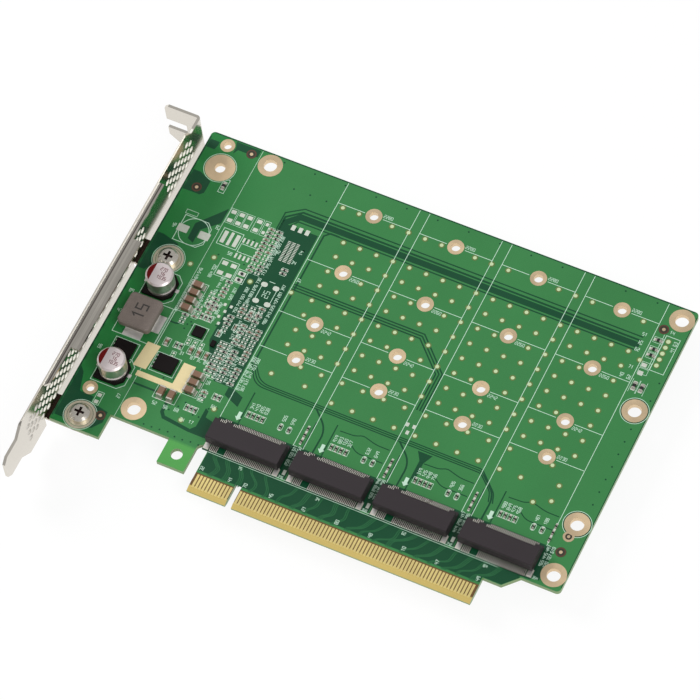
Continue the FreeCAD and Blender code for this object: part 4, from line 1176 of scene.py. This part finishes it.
def fill_ladders(ends, lands):
    """Rows of the smallest parts, some fitted and some left empty, and a few single ones."""
    lots = random.Random(7)
    resistors, capacitors = Solids(), Solids()
    for across, low, high in LADDERS:
        for step in range(round((high - low) / LADDER_STEP) + 1):
            up = low + step * LADDER_STEP
            kind = lots.random()
            if kind < 0.55:
                body = resistors if kind < 0.3 else capacitors
                fit(body, ends, lands, across - 0.5, up - 0.25, across + 0.5, up + 0.25, 0.35)
            else:
                for side in (-0.5, 0.5):
                    lands.patch(across + side, up, 0.54, 0.54)
    for chip in ((-46.85, 89.9, -45.95, 91.5, 0.5), (85.5, 93.3, 87.0, 94.1, 0.4),
                 (85.5, 90.2, 87.0, 91.0, 0.4), (85.5, 88.2, 87.0, 89.0, 0.4),
                 (85.45, 77.2, 86.35, 79.0, 0.45), (87.65, 77.2, 88.55, 79.0, 0.45)):
        fit(resistors, ends, lands, *chip)
    for up in (64.9, 67.0):
        resistors.lathe((-28.9, up), [(0.42, TOP), (0.42, TOP + 0.3), (0.36, TOP + 0.36)], 20)
    resistors.build("small_resistors", "resistor", "chip_part")
    capacitors.build("small_capacitors", "ceramic", "ceramic_body")


def empty_lands(lands):
    """Footprints with no part on them."""
    for wide, deep, places in EMPTY_LANDS:
        for place in places:
            lands.add(rounded(*place, wide, deep, 0.12, 2))
    for n in range(4):
        for up in (71.7, 77.0):
            lands.patch(-33.2 + n * 1.27, up, 0.6, 1.6)
    across, up, wide, deep = CRYSTAL
    for side in (-1, 1):
        for rise in (-1, 1):
            lands.add(rounded(across + side * wide, up + rise * deep, 1.9, 1.5, 0.7))
    for n in range(14):
        for side, wide in ((-1.35, 0.9), (0.0, 1.1), (1.35, 0.9)):
            middle, low = CRYSTAL[0] + side, 75.1 + n * 0.5
            lands.add(rectangle(middle - wide / 2, low, middle + wide / 2, 75.35 + n * 0.5))
    for middle in COLUMNS[:3]:
        lands.add(rectangle(middle + 12.2, 14.7, middle + 13.1, 16.3))


class CARD_OT_small(bpy.types.Operator):
    """Finish the small chip parts with tinned ends and solder, and lay the empty footprints"""
    bl_idname = "card.small"
    bl_label = "Small parts"

    def execute(self, context):
        ends, lands = Solids(), on_board()
        finishes = {"socket_resistors": "resistor", "power_resistors": "resistor",
                    "socket_capacitors": "resistor", "power_capacitors": "ceramic",
                    "ceramic_capacitor": "ceramic"}
        for start, finish in finishes.items():
            dress(start, finish)
        for node in NODES:
            if node.startswith(tuple(finishes)):
                for low, high in loose_boxes(node):
                    tin(ends, lands, low, high)
        fill_ladders(ends, lands)
        empty_lands(lands)
        ends.build("tinned_ends", "tinned end", "contact_metal")
        lands.build("solder_lands", "tin land", "contact_metal")
        return {"FINISHED"}


class CARD_OT_edge(bpy.types.Operator):
    """Gild the contacts of the edge connector"""
    bl_idname = "card.edge"
    bl_label = "Edge connector"

    def execute(self, context):
        dress("edge_contacts", "edge gold")
        return {"FINISHED"}


class CARD_OT_bracket(bpy.types.Operator):
    """Plate the bracket and its screws"""
    bl_idname = "card.bracket"
    bl_label = "Bracket"

    def execute(self, context):
        dress("io_bracket", "nickel")
        dress("bracket_screw", "screw")
        return {"FINISHED"}


# ---------------------------------------------------------------- sockets and power parts
def comb_socket(number, low, high):
    """Painted shade in the openings and painted shadows round one socket, its contacts and lands; places
    count contact steps from its middle.
    """
    middle, shelf, toe = COLUMNS[number - 1], high.y - JAW, high.y + SOCKET_TOE
    beams, shade_sheets, lands = Solids(), Solids(), Relief(TOP, TOP + 0.04)
    # painted shade in the opening on the housing's top, and painted shadow on the board under the
    # contacts' feet
    for start, end in ((-18.5, -14.5), (-10.5, 18.5)):
        left, right = middle + start * CONTACT_STEP, middle + end * CONTACT_STEP
        shade_sheets.brick((left, shelf - 0.8, high.z - 0.1), (right, shelf + 0.01, high.z + 0.01))
        shade_sheets.brick((left, high.y + 0.01, TOP), (right, toe, TOP + 0.05))
    # painted shadow on the board behind the tails
    for start, end in ((-19.0, -14.0), (-10.0, 19.0)):
        shade_sheets.brick((middle + start * CONTACT_STEP, low.y - 1.9, TOP),
                    (middle + end * CONTACT_STEP, low.y, TOP + 0.02))
    shade_sheets.build("socket_shadows_%d" % number, "slot", "socket_plastic")
    for place in [*range(4), *range(8, 37)]:
        across = middle + (place - 18) * CONTACT_STEP
        beams.brick((across - 0.1, high.y - 3.4, TOP + 1.3), (across + 0.1, high.y - 0.1, TOP + 1.42))
        beams.brick((across - 0.08, high.y + 0.02, TOP), (across + 0.08, toe, TOP + 0.14))
        beams.brick((across - 0.085, shelf - 0.75, high.z - 0.1),
                    (across + 0.085, shelf + 0.02, high.z + 0.02))
    beams.build("socket_beams_%d" % number, "contact", "contact_metal")
    for place in [*range(5), *range(9, 38)]:
        across = middle + (place - 18.5) * CONTACT_STEP
        lands.add(rectangle(across - 0.09, low.y - 1.75, across + 0.09, low.y))
    for side in (-1, 1):
        across = middle + side * (high.x - low.x - 0.9) / 2
        lands.add(rectangle(across - 0.8, low.y - 1.6, across + 0.8, low.y + 0.9))
    lands.build("socket_lands_%d" % number, "contact", "contact_metal")


class CARD_OT_sockets(bpy.types.Operator):
    """Finish the drive sockets, their contacts and their solder joints"""
    bl_idname = "card.sockets"
    bl_label = "Drive sockets"

    def execute(self, context):
        dress("m2_socket", "housing")
        dress("m2_contacts", "contact")
        dress("m2_anchors", "solder")
        for number, (low, high) in enumerate(SOCKETS, start=1):
            comb_socket(number, low, high)
        return {"FINISHED"}


def mark_can(number):
    """The printed segment on the end of a can, and its plain figures."""
    low, high = box_mm("capacitor_can_%d" % number)
    across, up = (low.x + high.x) / 2, (low.y + high.y) / 2
    radius, chord = (high.x - low.x) / 2 - 0.52, 2.0
    half = math.acos(chord / radius)
    stripe, marks = Relief(high.z, high.z + 0.02), Relief(high.z, high.z + 0.012)
    angles = [math.pi + half * (n / 16 - 1) for n in range(33)]
    stripe.add([(across + radius * math.cos(angle), up + radius * math.sin(angle)) for angle in angles])
    stripe.build("can_stripe_%d" % number, "stripe ink", "can_metal")
    for figure, shift, rise in ((270, 0.7, 1.7), (16, 0.9, 0.35), (1035, 1.1, -1.0)):
        marks.number(figure, across + shift, up + rise, 0.95, wide=0.15)
    marks.build("can_figures_%d" % number, "can figures", "can_metal")


class CARD_OT_power(bpy.types.Operator):
    """Finish the capacitors, inductor, transistors and chips"""
    bl_idname = "card.power"
    bl_label = "Power parts"

    def execute(self, context):
        for start, finish in (("capacitor_base", "resin"), ("capacitor_can", "can"),
                              ("capacitor_leads", "solder"), ("power_transistor", "resin"),
                              ("power_transistor_leads", "solder"), ("driver_chip", "resin"),
                              ("sensor_chip", "resin"), ("inductor_core", "core"),
                              ("inductor_terminals", "solder")):
            dress(start, finish)
        for number in (1, 2):
            mark_can(number)
        low, high = box_mm("inductor_core")
        mark = Relief(high.z, high.z + 0.02)
        mark.number(15, (low.x + high.x) / 2, (low.y + high.y) / 2, 3.4, 1, 0.45)
        mark.build("inductor_number", "core number", "powder_core")
        return {"FINISHED"}


# ---------------------------------------------------------------- stage
def floor_finish(stage):
    """Pale paper that keeps the card's shadow and that the camera and metal see almost white."""
    look = Finish("floor", 0.9, specular=0.1)
    tone = look.effect(mottle, Size=3.0, Amount=0.01, Speck_Amount=0.0)
    look.put(Base_Color=look.toned(stage.floor_colour, tone))
    glow = look.add("Emission", {"Color": (1.0, 1.0, 1.0), "Strength": 1.0}).outputs[0]
    rays = look.add("LightPath").outputs
    mirrored = look.sum("MAXIMUM", rays["Is Glossy Ray"], rays["Is Transmission Ray"])
    seen = look.times(look.sum("MAXIMUM", rays["Is Camera Ray"], mirrored), stage.floor_glow)
    blend = look.add("MixShader", (seen, look.shader.outputs[0], glow))
    look.feed(look.nodes["Material Output"].inputs["Surface"], blend.outputs[0])
    return look.material


def hang_lamp(scene, name, place, size, power):
    """A large soft lamp that faces the card."""
    light = bpy.data.lights.new(name, "AREA")
    light.shape, light.size, light.energy = "DISK", size, power
    lamp = bpy.data.objects.new(name, light)
    lamp.location = place
    aim = Vector((0.01, 0.05, 0.0))
    lamp.rotation_euler = (aim - Vector(place)).to_track_quat("-Z", "Y").to_euler()
    scene.collection.objects.link(lamp)


class CARD_OT_stage(bpy.types.Operator):
    """Set the floor, the lamps and the camera"""
    bl_idname = "card.stage"
    bl_label = "Stage"

    def execute(self, context):
        stage = settings("card_stage")
        scene = context.scene
        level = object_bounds()[0][2] - stage.gap
        mesh = bpy.data.meshes.new("floor")
        mesh.from_pydata([(x, y, level) for x, y in rectangle(-3, -3, 3, 3)], [], [(0, 1, 2, 3)])
        mesh.materials.append(floor_finish(stage))
        floor = bpy.data.objects.new("floor", mesh)
        scene.collection.objects.link(floor)
        floor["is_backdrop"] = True
        world = bpy.data.worlds.new("sky")
        world.use_nodes = True
        sky = world.node_tree.nodes["Background"]
        sky.inputs["Color"].default_value = (1.0, 1.0, 1.0, 1.0)
        sky.inputs["Strength"].default_value = stage.world_level
        scene.world = world
        hang_lamp(scene, "main_lamp", (-0.95, 0.25, 0.75), 0.55, stage.key_power)
        hang_lamp(scene, "side_lamp", (0.75, -0.35, 0.95), 0.8, stage.fill_power)
        camera = bpy.data.cameras.new("camera")
        camera.lens = stage.lens
        camera.sensor_width = 36.0
        camera.clip_start, camera.clip_end = 0.01, 20.0
        eye = bpy.data.objects.new("camera", camera)
        eye.location = stage.eye
        eye.rotation_euler = stage.turn
        scene.collection.objects.link(eye)
        scene.camera = eye
        scene.view_settings.view_transform = "Standard"
        return {"FINISHED"}


OPERATORS = (CARD_OT_board, CARD_OT_copper, CARD_OT_print, CARD_OT_small, CARD_OT_edge,
             CARD_OT_bracket, CARD_OT_sockets, CARD_OT_power, CARD_OT_stage)


class CARD_PT_panel(bpy.types.Panel):
    """The card's makers, in the order of work"""
    bl_idname = "CARD_PT_panel"
    bl_label = "Adapter card"
    bl_space_type = "VIEW_3D"
    bl_region_type = "UI"
    bl_category = "Adapter card"

    def draw(self, context):
        for operator in OPERATORS:
            self.layout.operator(operator.bl_idname)
        for name, group in SETTINGS.items():
            shelf = self.layout.box()
            shelf.label(text=group.__doc__)
            for key in group.__annotations__:
                shelf.prop(getattr(context.scene, name), key)


def register():
    """Make the settings, operators and panel known."""
    for name, group in SETTINGS.items():
        bpy.utils.register_class(group)
        setattr(bpy.types.Scene, name, PointerProperty(type=group))
    for item in OPERATORS + (CARD_PT_panel,):
        bpy.utils.register_class(item)


def unregister():
    """Take them out again."""
    for item in (CARD_PT_panel,) + OPERATORS[::-1]:
        bpy.utils.unregister_class(item)
    for name, group in SETTINGS.items():
        delattr(bpy.types.Scene, name)
        bpy.utils.unregister_class(group)


def main():
    """Dress the whole card and set the stage."""
    register()
    for operator in OPERATORS:
        getattr(bpy.ops.card, operator.bl_idname.split(".")[1])()


if __name__ == "__main__":
    main()
